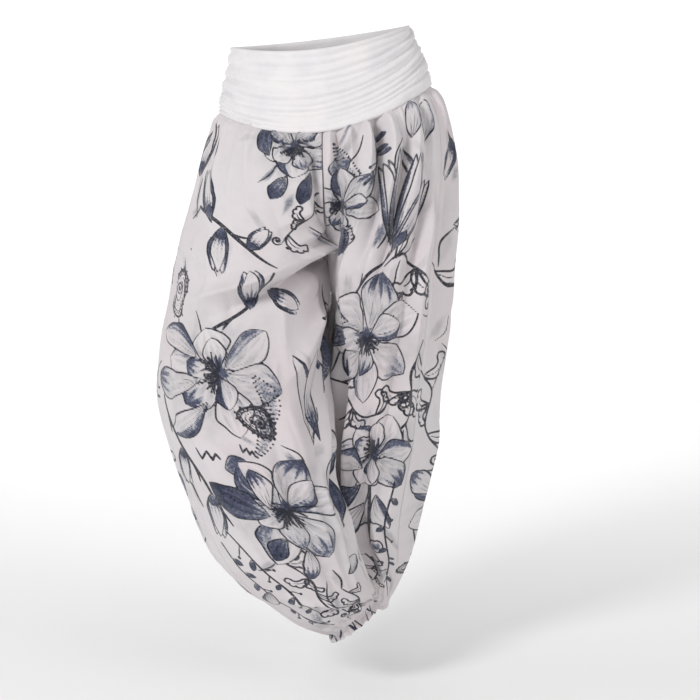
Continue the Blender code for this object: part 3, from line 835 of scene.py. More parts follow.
def smudges(dye, at, rng):
    """Loose washes and quick thin strokes that lie under the flowers."""
    for k in range(SMUDGES):
        spot = at(rng.uniform(0.04, 0.96), (k + rng.random()) / SMUDGES * 0.90 + 0.01)
        lean = math.pi / 2 + rng.normal(0, 0.55)
        long = rng.uniform(0.030, 0.085)
        navy = rng.uniform(0.10, 0.42) if k % 3 == 0 else 0.0
        dye.pool(spot, long, rng.uniform(0.008, 0.020), lean, navy, rng.uniform(0.25, 0.62))
        if k % 2:
            way = np.array((math.cos(lean), math.sin(lean)))
            bow = rng.uniform(-0.20, 0.20) * long * np.array((-way[1], way[0]))
            near = spot + rng.normal(0, 0.006, 2)
            points = [near - 0.5 * long * way, near + bow, near + 0.5 * long * way]
            dye.stroke(points, rng.uniform(0.0022, 0.0034), thin=0.4)


def print_right_front(dye, at, rng):
    """The right front panel: two magnolias, buds, a lace paisley and scrolls."""
    dye.lace([at(0.40, 0.44), at(0.50, 0.47), at(0.52, 0.52), at(0.44, 0.56)], 0.030, rng)
    dye.paisley(at(0.13, 0.300), 0.085, 0.4)
    dye.acanthus([at(0.98, 0.125), at(0.90, 0.165), at(0.80, 0.185), at(0.70, 0.215)], 0.036, rng)
    dye.acanthus([at(0.34, 0.715), at(0.46, 0.760), at(0.44, 0.820), at(0.54, 0.880)], 0.036, rng)
    dye.acanthus([at(0.62, 0.800), at(0.70, 0.840), at(0.66, 0.900)], 0.030, rng)
    dye.branch([at(0.24, 0.150), at(0.40, 0.175), at(0.52, 0.215), at(0.60, 0.262)], 0.0070, rng)
    dye.bud(at(0.34, 0.165), at(0.26, 0.090), 0.030, rng)
    dye.bud(at(0.42, 0.185), at(0.36, 0.262), 0.030, rng)
    dye.bud(at(0.54, 0.222), at(0.66, 0.186), 0.028, rng)
    dye.bud(at(0.16, 0.100), at(0.20, 0.020), 0.026, rng, navy=0.5)
    dye.magnolia(at(0.84, 0.030), 0.062, 0.4, rng)
    for base, tip, wide in (
        ((0.70, 0.050), (0.62, 0.004), 0.030),
        ((0.80, 0.085), (0.70, 0.128), 0.026),
        ((0.93, 0.080), (0.86, 0.140), 0.024),
    ):
        dye.petal(at(*base), at(*tip), wide, "full", navy=0.95, seed=tip[0] * 9)
    dye.branch([at(0.58, 0.270), at(0.50, 0.318), at(0.36, 0.352), at(0.26, 0.372)], 0.0055, rng)
    dye.bud(at(0.50, 0.322), at(0.50, 0.262), 0.036, rng)
    dye.bud(at(0.60, 0.300), at(0.72, 0.330), 0.030, rng)
    dye.magnolia(at(0.36, 0.425), 0.086, 2.2, rng, front=0.4)
    dye.petal(at(0.28, 0.405), at(0.02, 0.372), 0.040, "edge", navy=0.7, grey=0.5, bend=0.12, seed=3.0)
    dye.petal(at(0.28, 0.435), at(0.00, 0.440), 0.046, "tip", navy=0.6, grey=0.5, bend=-0.10, seed=4.0)
    dye.petal(at(0.30, 0.470), at(0.08, 0.525), 0.036, "far_edge", navy=0.8, grey=0.5, bend=-0.10, seed=5.0)
    dye.lace([at(0.50, 0.430), at(0.56, 0.470), at(0.54, 0.520)], 0.024, rng)
    dye.paisley(at(0.50, 0.500), 0.062, 2.6)
    dye.petal(at(0.74, 0.545), at(0.66, 0.400), 0.032, "edge", navy=0.85, grey=0.4, bend=0.10, seed=2.0)
    dye.petal(at(0.78, 0.540), at(0.80, 0.395), 0.028, "base", navy=0.8, grey=0.4, bend=-0.08, seed=6.0)
    dye.petal(at(0.86, 0.470), at(0.96, 0.340), 0.026, "full", navy=0.7, grey=0.4, bend=0.10, seed=7.0)
    dye.twig([at(0.90, 0.300), at(0.86, 0.370), at(0.90, 0.440)], rng, 5)
    dye.zigzag(at(0.25, 0.552), 0.034, 0.1)
    dye.zigzag(at(0.42, 0.545), 0.024, 0.3)
    dye.petal(at(0.30, 0.575), at(0.40, 0.562), 0.030, "full", belly=0.5, navy=0.75, seed=8.0, veins=0)
    dye.magnolia(at(0.52, 0.640), 0.088, 0.9, rng)
    dye.petal(at(0.42, 0.652), at(0.20, 0.598), 0.048, "full", belly=0.5, navy=1.0, bend=-0.06, seed=1.0)
    dye.petal(at(0.44, 0.640), at(0.40, 0.575), 0.034, "tip", navy=0.95, bend=0.10, seed=9.0)
    dye.petal(at(0.44, 0.690), at(0.34, 0.722), 0.030, "full", navy=0.95, bend=0.10, seed=4.5)
    dye.petal(at(0.52, 0.705), at(0.47, 0.760), 0.028, "tip", navy=0.9, bend=-0.10, seed=5.5)
    dye.petal(at(0.80, 0.690), at(0.86, 0.600), 0.030, "full", navy=0.9, grey=0.4, bend=0.10, seed=3.5)
    dye.petal(at(0.78, 0.640), at(0.94, 0.560), 0.034, "edge", navy=0.7, grey=0.5, bend=-0.10, seed=2.5)
    dye.branch([at(0.06, 0.470), at(0.10, 0.540), at(0.17, 0.600), at(0.20, 0.670)], 0.0060, rng)
    dye.bud(at(0.10, 0.550), at(0.02, 0.610), 0.026, rng, navy=0.6)
    dye.bud(at(0.18, 0.620), at(0.08, 0.690), 0.030, rng, navy=0.7)
    dye.twig([at(0.14, 0.680), at(0.24, 0.740), at(0.30, 0.800), at(0.34, 0.860)], rng, 9)
    dye.twig([at(0.06, 0.700), at(0.12, 0.770), at(0.20, 0.850), at(0.30, 0.900)], rng, 9)
    dye.petal(at(0.16, 0.790), at(0.06, 0.830), 0.028, "edge", navy=0.5, grey=0.5, seed=6.5)
    dye.petal(at(0.70, 0.770), at(0.86, 0.740), 0.026, "edge", navy=0.5, grey=0.6, seed=1.5)
    dye.blot(at(0.71, 0.225), 0.006)
    dye.blot(at(0.38, 0.830), 0.006)
    dye.blot(at(0.22, 0.225), 0.004)
    dye.blot(at(0.62, 0.925), 0.006)


def print_left_front(dye, at, rng):
    """The left front panel: magnolias, a fan of buds and bold scrolls."""
    dye.lace([at(0.92, 0.030), at(0.84, 0.080), at(0.70, 0.130), at(0.58, 0.190)], 0.026, rng)
    dye.acanthus([at(0.36, 0.262), at(0.26, 0.245), at(0.14, 0.262), at(0.00, 0.290)], 0.050, rng, 0.0032)
    dye.acanthus([at(0.02, 0.380), at(0.10, 0.430), at(0.06, 0.490), at(0.16, 0.540)], 0.052, rng, 0.0032)
    scroll = [at(0.80, 0.450), at(0.64, 0.470), at(0.46, 0.505), at(0.30, 0.500), at(0.16, 0.470)]
    dye.acanthus(scroll, 0.050, rng, 0.0032)
    dye.curl(at(0.16, 0.322), 0.016, 0.4, 1, 0.0032)
    dye.curl(at(0.06, 0.336), 0.018, 2.4, -1, 0.0032)
    dye.petal(at(0.92, 0.060), at(0.84, 0.092), 0.034, "full", belly=0.5, navy=0.6, grey=0.5, seed=2.0, line=0.0020)
    dye.magnolia(at(0.86, 0.150), 0.060, 1.2, rng)
    dye.petal(at(0.80, 0.185), at(0.66, 0.226), 0.036, "edge", navy=1.0, bend=0.12, seed=3.0)
    dye.petal(at(0.78, 0.190), at(0.78, 0.248), 0.032, "full", navy=0.95, bend=-0.10, seed=4.0)
    dye.lace([at(0.74, 0.190), at(0.70, 0.220), at(0.72, 0.250)], 0.018, rng)
    dye.branch([at(0.56, 0.310), at(0.44, 0.270), at(0.34, 0.240), at(0.30, 0.200)], 0.0050, rng)
    for tip, wide, navy in (
        ((0.56, 0.086), 0.024, 0.85),
        ((0.42, 0.070), 0.030, 0.5),
        ((0.28, 0.090), 0.028, 0.7),
        ((0.15, 0.135), 0.028, 0.5),
    ):
        dye.bud(at(0.34, 0.235), at(*tip), wide, rng, navy=navy)
    dye.petal(at(0.20, 0.080), at(0.12, 0.016), 0.034, "edge", navy=0.35, grey=0.6, seed=5.0)
    dye.petal(at(0.34, 0.060), at(0.26, 0.006), 0.030, "tip", navy=0.4, grey=0.6, seed=6.0)
    dye.twig([at(0.66, 0.010), at(0.60, 0.070), at(0.62, 0.120)], rng, 6)
    dye.magnolia(at(0.44, 0.372), 0.096, 0.5, rng, front=0.6)
    dye.petal(at(0.52, 0.400), at(0.70, 0.448), 0.050, "tip", navy=1.0, grey=0.5, bend=0.08, seed=7.0)
    dye.petal(at(0.60, 0.350), at(0.84, 0.330), 0.040, "edge", navy=0.8, grey=0.5, bend=-0.10, seed=8.0)
    dye.petal(at(0.62, 0.380), at(0.90, 0.395), 0.036, "full", navy=0.75, grey=0.5, bend=0.10, seed=8.5)
    dye.branch([at(0.36, 0.560), at(0.32, 0.600), at(0.28, 0.670), at(0.30, 0.730)], 0.0080, rng)
    dye.magnolia(at(0.30, 0.570), 0.072, 2.8, rng)
    dye.petal(at(0.40, 0.600), at(0.62, 0.580), 0.040, "edge", navy=0.8, grey=0.5, bend=0.12, seed=9.0)
    dye.petal(at(0.40, 0.630), at(0.66, 0.660), 0.038, "full", navy=0.9, grey=0.5, bend=-0.10, seed=1.0)
    dye.petal(at(0.24, 0.640), at(0.10, 0.700), 0.032, "far_edge", navy=0.7, grey=0.5, bend=0.10, seed=2.5)
    dye.petal(at(0.34, 0.660), at(0.50, 0.720), 0.030, "tip", navy=0.9, bend=0.10, seed=3.5)
    dye.ring(at(0.24, 0.735), 0.013, 0.0030, wash=0.55)
    dye.twig([at(0.10, 0.620), at(0.14, 0.700), at(0.12, 0.780), at(0.20, 0.850)], rng, 9)
    dye.acanthus([at(0.40, 0.770), at(0.30, 0.820), at(0.38, 0.870)], 0.030, rng)
    dye.petal(at(0.66, 0.700), at(0.80, 0.640), 0.034, "edge", navy=0.7, grey=0.5, seed=4.5)
    dye.petal(at(0.60, 0.750), at(0.78, 0.780), 0.030, "full", navy=0.8, grey=0.5, seed=5.5)
    dye.twig([at(0.90, 0.480), at(0.84, 0.560), at(0.88, 0.640)], rng, 7)
    dye.blot(at(0.50, 0.800), 0.006)


def print_back(dye, at, rng, shift):
    """A back panel: the same flowers, buds and scrolls in their own order."""

    def spot(turn, down):
        return at(min(max(turn, 0.0), 1.0), down + shift)

    dye.lace([spot(0.62, 0.060), spot(0.66, 0.120), spot(0.56, 0.180)], 0.028, rng)
    dye.acanthus([spot(0.02, 0.250), spot(0.10, 0.290), spot(0.20, 0.270), spot(0.30, 0.310)], 0.050, rng, 0.0032)
    dye.acanthus([spot(0.00, 0.420), spot(0.08, 0.460), spot(0.06, 0.520), spot(0.14, 0.570)], 0.050, rng, 0.0032)
    dye.acanthus([spot(0.62, 0.330), spot(0.74, 0.300), spot(0.88, 0.330)], 0.040, rng)
    dye.acanthus([spot(0.36, 0.740), spot(0.50, 0.780), spot(0.62, 0.750)], 0.038, rng)
    dye.acanthus([spot(0.72, 0.820), spot(0.60, 0.860), spot(0.46, 0.850)], 0.032, rng)
    dye.branch([spot(0.10, 0.060), spot(0.20, 0.120), spot(0.26, 0.190), spot(0.22, 0.250)], 0.0065, rng)
    dye.bud(spot(0.13, 0.080), spot(0.04, 0.130), 0.028, rng)
    dye.bud(spot(0.20, 0.120), spot(0.32, 0.080), 0.030, rng)
    dye.bud(spot(0.24, 0.200), spot(0.12, 0.210), 0.028, rng, navy=0.6)
    dye.magnolia(spot(0.50, 0.110), 0.070, 0.6, rng)
    dye.petal(spot(0.40, 0.150), spot(0.32, 0.190), 0.034, "full", navy=0.95, seed=1.0)
    dye.magnolia(spot(0.86, 0.160), 0.064, 1.9, rng)
    dye.magnolia(spot(0.40, 0.400), 0.090, 2.6, rng, front=0.5)
    dye.petal(spot(0.28, 0.420), spot(0.14, 0.380), 0.046, "full", navy=0.95, bend=0.08, seed=2.0)
    dye.petal(spot(0.52, 0.430), spot(0.62, 0.480), 0.036, "tip", navy=0.9, seed=3.0)
    dye.paisley(spot(0.72, 0.440), 0.085, 1.0)
    dye.lace([spot(0.60, 0.520), spot(0.70, 0.560), spot(0.82, 0.540)], 0.028, rng)
    dye.branch([spot(0.90, 0.420), spot(0.84, 0.500), spot(0.88, 0.580), spot(0.82, 0.650)], 0.0060, rng)
    dye.bud(spot(0.86, 0.520), spot(0.76, 0.490), 0.028, rng)
    dye.bud(spot(0.86, 0.600), spot(0.97, 0.640), 0.028, rng)
    dye.magnolia(spot(0.24, 0.640), 0.084, 0.2, rng)
    dye.petal(spot(0.34, 0.650), spot(0.46, 0.690), 0.044, "full", navy=0.95, bend=-0.08, seed=4.0)
    dye.petal(spot(0.14, 0.640), spot(0.02, 0.600), 0.036, "tip", navy=0.8, seed=5.0)
    dye.magnolia(spot(0.64, 0.640), 0.074, 1.4, rng)
    dye.zigzag(spot(0.46, 0.560), 0.030, 0.2)
    dye.twig([spot(0.08, 0.700), spot(0.14, 0.760), spot(0.22, 0.820), spot(0.30, 0.870)], rng, 9)
    dye.twig([spot(0.86, 0.700), spot(0.80, 0.770), spot(0.84, 0.840)], rng, 7)
    dye.paisley(spot(0.10, 0.790), 0.050, 2.0)
    dye.blot(spot(0.34, 0.270), 0.006)
    dye.blot(spot(0.54, 0.270), 0.005)


Look = namedtuple("Look", "ground ground_shade grey navy ink jersey jersey_shade")
GROUND_SHADE = (0.56, 0.55, 0.585)
GROUND_ROSE = (0.69, 0.62, 0.635)
GREY_WASH = (0.30, 0.30, 0.315)
THIN_NAVY = (0.36, 0.37, 0.42)
MIDDLE_NAVY = (0.078, 0.088, 0.140)
JERSEY_SHADE = (0.74, 0.73, 0.745)
JERSEY_ROSE = (0.84, 0.785, 0.79)


def looks(settings):
    """The colours in use: those a user can change and their set companions."""
    return Look(
        tuple(settings.ground), GROUND_SHADE, GREY_WASH, tuple(settings.navy), tuple(settings.ink),
        tuple(settings.jersey), JERSEY_SHADE,
    )


class Tree:
    """Adds shader nodes and joins them up."""

    def __init__(self, name):
        self.material = bpy.data.materials.new(name)
        self.material.use_nodes = True
        self.nodes = self.material.node_tree.nodes
        self.links = self.material.node_tree.links
        self.shader = self.nodes["Principled BSDF"]

    def add(self, kind, inputs=(), **settings):
        node = self.nodes.new("ShaderNode" + kind)
        for name, value in settings.items():
            setattr(node, name, value)
        for socket, value in dict(inputs).items():
            if isinstance(value, bpy.types.NodeSocket):
                self.links.new(value, node.inputs[socket])
            else:
                node.inputs[socket].default_value = value
        return node

    def calc(self, operation, first, second):
        return self.add("Math", {0: first, 1: second}, operation=operation).outputs[0]

    def between(self, value, low, high, to_low=0.0, to_high=1.0):
        node = self.add(
            "MapRange",
            {"Value": value, "From Min": low, "From Max": high, "To Min": to_low, "To Max": to_high},
            interpolation_type="SMOOTHSTEP",
        )
        return node.outputs["Result"]

    def mix(self, share, first, second):
        return self.add("Mix", {0: share, 6: first, 7: second}, data_type="RGBA").outputs[2]

    def noise(self, where, scale, detail=3.0, rough=0.55):
        node = self.add("TexNoise", {"Vector": where, "Scale": scale, "Detail": detail, "Roughness": rough})
        return node.outputs["Fac"]

    def finish(self, colour, roughness, height, sheen, distance):
        self.links.new(colour, self.shader.inputs["Base Color"])
        self.links.new(roughness, self.shader.inputs["Roughness"])
        self.shader.inputs["Sheen Weight"].default_value = sheen
        self.shader.inputs["Sheen Roughness"].default_value = 0.55
        self.shader.inputs["Specular IOR Level"].default_value = 0.30
        bump = self.add("Bump", {"Height": height, "Strength": 0.55, "Distance": distance})
        self.links.new(bump.outputs["Normal"], self.shader.inputs["Normal"])
        return self.material


THREAD = 0.00075  # pitch of the viscose's threads
KNIT = 0.00125  # pitch of the jersey's ribs


def wave_scale(pitch):
    """The Wave node's scale for ribs of that pitch."""
    return 2 * math.pi / (20 * pitch)


def viscose(name, look):
    """Plain-weave viscose with its ink-wash print."""
    tree = Tree(name)
    where = tree.add("UVMap", uv_map="cut").outputs["UV"]
    dye = tree.add("Attribute", attribute_name="print", attribute_type="GEOMETRY").outputs["Color"]
    ink, navy, grey = tree.add("SeparateColor", {"Color": dye}).outputs
    clouds = tree.noise(where, 34.0, 5.0, 0.62)
    dry = tree.noise(where, 260.0, 3.0, 0.6)
    slub = tree.noise(where, 900.0, 2.0)
    tint = tree.noise(where, 3.2, 2.0)
    colour = tree.mix(tree.between(tint, 0.35, 0.68), (*look.ground, 1), (*GROUND_ROSE, 1))
    colour = tree.mix(tree.between(clouds, 0.45, 0.80, 0.0, 0.35), colour, (*look.ground_shade, 1))
    grey_depth = tree.calc("MULTIPLY", grey, tree.between(clouds, 0.25, 0.75, 0.55, 1.25))
    colour = tree.mix(grey_depth, colour, (*look.grey, 1))
    brushed = tree.calc("ADD", tree.between(clouds, 0.25, 0.75, 0.55, 1.20), tree.between(dry, 0.3, 0.7, -0.22, 0.22))
    navy_depth = tree.calc("MULTIPLY", navy, brushed)
    wash = tree.add("ValToRGB", {"Fac": navy_depth})
    wash.color_ramp.elements[0].color = (*THIN_NAVY, 1)
    wash.color_ramp.elements[1].color = (*look.navy, 1)
    middle = wash.color_ramp.elements.new(0.5)
    middle.color = (*MIDDLE_NAVY, 1)
    colour = tree.mix(tree.between(navy_depth, 0.04, 0.42), colour, wash.outputs["Color"])
    inked = tree.between(ink, 0.34, 0.56)
    inked = tree.calc("MULTIPLY", inked, tree.between(dry, 0.25, 0.60, 0.80, 1.0))
    colour = tree.mix(inked, colour, (*look.ink, 1))
    roughness = tree.between(clouds, 0.2, 0.8, 0.66, 0.78)
    warp = tree.add("TexWave", {"Vector": where, "Scale": wave_scale(THREAD)}, bands_direction="X").outputs["Fac"]
    weft = tree.add("TexWave", {"Vector": where, "Scale": wave_scale(THREAD)}, bands_direction="Y").outputs["Fac"]
    weave = tree.calc("MULTIPLY", tree.calc("ADD", warp, weft), 0.16)
    crinkle = tree.calc("MULTIPLY", tree.noise(where, 60.0, 4.0, 0.5), 1.6)
    height = tree.calc("ADD", tree.calc("ADD", weave, crinkle), tree.calc("MULTIPLY", slub, 0.25))
    return tree.finish(colour, roughness, height, 0.22, 0.0010)


def jersey(name, look):
    """Fine white jersey with vertical knit ribs."""
    tree = Tree(name)
    where = tree.add("UVMap", uv_map="cut").outputs["UV"]
    clouds = tree.noise(where, 16.0, 4.0, 0.55)
    fuzz = tree.noise(where, 700.0, 2.0)
    colour = tree.mix(tree.between(clouds, 0.35, 0.72), (*look.jersey, 1), (*look.jersey_shade, 1))
    pink = tree.noise(where, 6.0, 1.0)
    colour = tree.mix(tree.between(pink, 0.42, 0.75, 0.0, 0.55), colour, (*JERSEY_ROSE, 1))
    roughness = tree.between(clouds, 0.2, 0.8, 0.74, 0.86)
    ribs = tree.add(
        "TexWave", {"Vector": where, "Scale": wave_scale(KNIT), "Distortion": 0.6, "Detail": 1.0}, bands_direction="X"
    ).outputs["Fac"]
    height = tree.calc("ADD", tree.calc("MULTIPLY", ribs, 0.35), tree.calc("MULTIPLY", fuzz, 0.45))
    height = tree.calc("ADD", height, tree.calc("MULTIPLY", tree.noise(where, 90.0, 3.0), 0.9))
    return tree.finish(colour, roughness, height, 0.35, 0.0008)


def plain(name, colour, roughness):
    tree = Tree(name)
    tree.shader.inputs["Base Color"].default_value = (*colour, 1)
    tree.shader.inputs["Roughness"].default_value = roughness
    return tree.material


def cloth_shell(name, points, inner, uv, dye, material, ring=False):
    """A closed thin cloth: its face is the grid points, its lining side every INNER_STEP of inner."""
    step = 1 if ring else INNER_STEP
    rows, columns = points.shape[:2]
    lining = inner[::step, ::step]
    inner_rows, inner_columns = lining.shape[:2]
    face_ids = np.arange(rows * columns).reshape(rows, columns)
    lining_ids = np.arange(inner_rows * inner_columns).reshape(inner_rows, inner_columns) + rows * columns

    def quads(ids, turn_over):
        across = np.roll(ids, -1, axis=1) if ring else ids[:, 1:]
        near = ids if ring else ids[:, :-1]
        made = np.stack([near[:-1], across[:-1], across[1:], near[1:]], axis=-1).reshape(-1, 4)
        return made[:, ::-1] if turn_over else made

    edges = [(face_ids[0], lining_ids[0]), (face_ids[-1][::-1], lining_ids[-1][::-1])]
    if not ring:
        edges += [(face_ids[:, -1], lining_ids[:, -1]), (face_ids[::-1, 0], lining_ids[::-1, 0])]
    rim = []
    for fine, coarse in edges:
        if ring:
            fine, coarse = np.append(fine, fine[0]), np.append(coarse, coarse[0])
        for k in range(len(coarse) - 1):
            run = fine[k * step : (k + 1) * step + 1]
            half = step // 2
            rim += [(run[j + 1], run[j], coarse[k]) for j in range(half)]
            rim.append((run[half], coarse[k], coarse[k + 1]))
            rim += [(run[j + 1], run[j], coarse[k + 1]) for j in range(half, step)]
    faces = np.concatenate([quads(face_ids, False), quads(lining_ids, True)])
    places = np.concatenate([points.reshape(-1, 3), lining.reshape(-1, 3)])
    mesh = bpy.data.meshes.new(name)
    mesh.from_pydata(places.tolist(), [], faces.tolist() + [tuple(int(i) for i in tri) for tri in rim])
    fix = bmesh.new()
    fix.from_mesh(mesh)
    bmesh.ops.recalc_face_normals(fix, faces=fix.faces)
    fix.to_mesh(mesh)
    fix.free()
    if np.dot(np.array(mesh.polygons[0].normal), outward(points[:3, :3])[0, 0]) < 0:
        mesh.flip_normals()
    mesh.shade_smooth()
    flat = np.concatenate([uv.reshape(-1, 2), uv[::step, ::step].reshape(-1, 2)])
    corners = np.empty(len(mesh.loops), np.int64)
    mesh.loops.foreach_get("vertex_index", corners)
    layer = mesh.uv_layers.new(name="cut")
    layer.data.foreach_set("uv", flat[corners].ravel())
    colours = np.zeros((len(places), 4))
    colours[:, 3] = 1
    if dye is not None:
        colours[: rows * columns, :3] = dye.reshape(-1, 3)
        colours[rows * columns :, :3] = dye[::step, ::step].reshape(-1, 3) * (0.3, 0.4, 0.5)
    layer = mesh.attributes.new("print", "FLOAT_COLOR", "POINT")
    layer.data.foreach_set("color", colours.ravel())
    piece = bpy.data.objects.new(name, mesh)
    piece.data.materials.append(material)
    bpy.context.scene.collection.objects.link(piece)
    return piece


def declare(piece, node):
    """Parents a piece to the body's empty and hides its CAD node."""
    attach(piece, BODY)
    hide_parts(node)


def leg_panel(side, face, settings, material):
    """One leg panel: face is 1 for the front and -1 for the back."""
    name = "leg_" + LEG_NAMES[side] + ("_front" if face > 0 else "_back")
    rng = np.random.default_rng(PANEL_SEED + side + 5 * face)
    girths = half_girths(side)
    end = girths[0][-1]
    steps = np.linspace(0, 1, PANEL_ROWS + 1)
    downs = end * (steps + 0.22 * (np.sin(math.pi / 2 * steps) - steps))
    share, down = np.meshgrid(np.linspace(0, 1, PANEL_COLUMNS + 1), downs)
    reach = np.abs(around(girths, np.full_like(downs, face), downs))
    edge = (SEAM / 2 / reach)[:, None]
    turn = face * (edge + share * (1 - 2 * edge))
    base = leg_form(side, turn, down).transpose(1, 2, 0)
    out = outward(base) * side * face
    hand_placed = RIGHT_CREASES if side == RIGHT else LEFT_CREASES
    scattered = soft_creases(np.random.default_rng(CREASE_SEED + side))
    lift = settings.crease_scale * crease_lift(hand_placed + tuple(scattered), girths, turn, down)
    fine = gathers(WAIST_GATHER, side, face, rng) + gathers(CUFF_GATHER, side, face, rng)
    lift += settings.gather_scale * crease_lift(fine, girths, turn, down)
    from_seam = np.minimum(np.abs(turn), 1 - np.abs(turn)) * reach[:, None]
    lift *= ramp(np.where(np.abs(turn) > 0.5, 0.30 + from_seam / 0.016, 0.35 + from_seam / 0.010))
    lift *= (0.22 + 0.78 * ramp(down / 0.020)) * (0.45 + 0.55 * ramp((end - down) / 0.012))
    lift -= 0.0006 * (1 - ramp(from_seam / 0.004))
    points = base + out * lift[:, :, None]
    lining = lowest_nearby(lift, INNER_STEP) - settings.cloth_thickness
    inner = base + out * lining[:, :, None]
    fullness = 1 + WAIST_FULLNESS * ramp(1 - downs / 0.10) + ANKLE_FULLNESS * ramp((downs - 0.82) / 0.13)
    hand = 1 if side * face < 0 else -1

    def place(turns, where):
        wide = np.interp(where, downs, reach * fullness)
        return hand * (np.abs(turns) - 0.5) * wide

    x = place(turn, down)
    dye = Dye(x, down)

    def spot(t, d):
        return np.array((place(t, d), d))

    smudges(dye, spot, np.random.default_rng(SMUDGE_SEED + side + 5 * face))
    if face > 0:
        draw = print_right_front if side == RIGHT else print_left_front
        draw(dye, spot, rng)
    else:
        print_back(dye, spot, rng, 0.0 if side == RIGHT else 0.012)
    layers = np.stack([dye.ink, dye.navy, dye.grey], axis=-1)
    piece = cloth_shell(name + "_cloth", points, inner, np.stack([x, down], axis=-1), layers, material)
    declare(piece, name)


def waistband_half(name, first, last, ruches, settings, material, seed):
    """Half of the waistband, ruched into both side seams."""
    edge = EDGE / 2 / BAND[-1].deep
    angles = np.linspace(first + edge, last - edge, BAND_COLUMNS + 1)
    angle, rise = np.meshgrid(angles, np.linspace(0, 1, BAND_ROWS + 1))
    base = band_form(angle, rise).transpose(1, 2, 0)
    out = outward(base)
    centre = (BAND_ROWS // 2, BAND_COLUMNS // 2)
    if (out[centre] * base[centre]).sum() < 0:
        out = -out
    share = (angle - first) / (last - first)
    long = np.linalg.norm(np.diff(base[0], axis=0), axis=1).sum()
    tall = np.linalg.norm(np.diff(base[:, BAND_COLUMNS // 2], axis=0), axis=1).sum()
    lift = np.full_like(angle, 0.0016)
    for k, ruche in enumerate(ruches):
        middle = ruche.right + (ruche.left - ruche.right) * (1 - share) ** 2.4 - ruche.sag * np.sin(math.pi * share)
        middle = middle + 0.010 * grain(1.3 * share, 3.1 * k)
        aside = (rise - middle) * tall
        uneven = 0.72 + 0.34 * grain(0.9 * share + 0.2 * k, 1.9 * k)
        faded = ramp((share - ruche.fade_from + 0.02) / 0.14) if ruche.fade_from > 0 else 1.0
        faded = faded * (ramp((ruche.fade_to + 0.02 - share) / 0.14) if ruche.fade_to < 1 else 1.0)
        width = ruche.width * (0.75 + 0.35 * np.sin(math.pi * share))
        lift -= settings.ruche_scale * ruche.lift * uneven * faded * np.exp(-(np.abs(aside / width) ** 1.4))
    at_seam = np.minimum(share, 1 - share) * long
    pleats = np.sin(rise * tall / BAND_PLEAT * math.pi + 2.5 * grain(rise, seed)) * 0.0006
    lift += pleats * (1 - ramp(at_seam / 0.030))
    lift += 0.0005 * grain(share * 9 + rise * 2, seed) * grain(rise * 2.0 + share, seed + 2)
    from_edge = np.minimum(rise, 1 - rise) * tall
    lift = lift * ramp(0.25 + from_edge / 0.006) - 0.0014 * (1 - ramp(from_edge / 0.0030))
    lift = lift * ramp(0.3 + at_seam / 0.006) - 0.0012 * (1 - ramp(at_seam / 0.0025))
    points = base + out * lift[:, :, None]
    lining = lowest_nearby(lift, INNER_STEP) - BAND_CLOTH
    inner = base + out * lining[:, :, None]
    uv = np.stack([share * long, rise * tall], axis=-1)
    piece = cloth_shell(name + "_cloth", points, inner, uv, None, material)
    declare(piece, name)


def gathered_cuff(side, material):
    """The gathered hem over its elastic, with the frilled edge below."""
    name = "cuff_" + LEG_NAMES[side]
    rng = np.random.default_rng(CUFF_SEED + side)
    turns = np.linspace(-1, 1, CUFF_COLUMNS, endpoint=False)
    turn, along = np.meshgrid(turns, np.linspace(0, 1, CUFF_ROWS + 1))
    base = cuff_form(side, turn, along).transpose(1, 2, 0)
    wrapped = np.concatenate([base[:, -2:], base, base[:, :2]], axis=1)
    out = outward(wrapped)[:, 2:-2]
    centre = base.reshape(-1, 3).mean(axis=0)
    if (out * (base - centre)).sum() < 0:
        out = -out
    angle = math.pi * turn
    pleats = np.sin(CUFF_PLEATS * angle + 1.6 * np.sin(3 * angle + side) + 0.9 * np.sin(5 * angle))
    narrow = np.sin(CUFF_FINE_PLEATS * angle + 1.2 * np.sin(4 * angle))
    squeeze = 1 - 0.55 * np.exp(-(((along - 0.35) / 0.16) ** 2))
    lift = (0.0013 * pleats + 0.0006 * narrow) * squeeze * (0.8 + 0.6 * along)
    lift -= 0.0011 * np.exp(-(((along - 0.35) / 0.14) ** 2))
    down_axis = base[-1].mean(axis=0) - base[0].mean(axis=0)
    down_axis /= np.linalg.norm(down_axis)
    ragged = 0.0010 * np.sin(CUFF_FRILLS * angle + 2 * np.sin(2 * angle)) * along**2
    points = base + out * lift[:, :, None] + ragged[:, :, None] * down_axis
    inner = base + out * (lift - CUFF_CLOTH)[:, :, None] + ragged[:, :, None] * down_axis
    girth = np.linalg.norm(np.diff(base[0], axis=0), axis=1).sum()
    uv = np.stack([(turn + 1) / 2 * girth * 1.7, 0.95 + along * CUFF_HEIGHT], axis=-1)
    dye = np.zeros((*turn.shape, 3))
    for k in range(CUFF_MARKS):
        spot, wide = rng.uniform(-1, 1), rng.uniform(0.006, 0.026)
        gap = np.abs((turn - spot + 0.10 * (along - 0.5) * rng.uniform(-1, 1) + 1) % 2 - 1)
        dye[:, :, k % 2] = np.maximum(dye[:, :, k % 2], np.clip(1.3 - gap / wide, 0, 1) * rng.uniform(0.6, 1.0))
    piece = cloth_shell(name + "_cloth", points, inner, uv, dye, material, ring=True)
    declare(piece, name)


def aimed(name, data, place, aim):
    """A lamp or camera at a place, turned to look at its aim."""
    made = bpy.data.objects.new(name, data)
    made.location = place
    made.rotation_euler = (mathutils.Vector(aim) - made.location).to_track_quat("-Z", "Y").to_euler()
    bpy.context.scene.collection.objects.link(made)
    return made


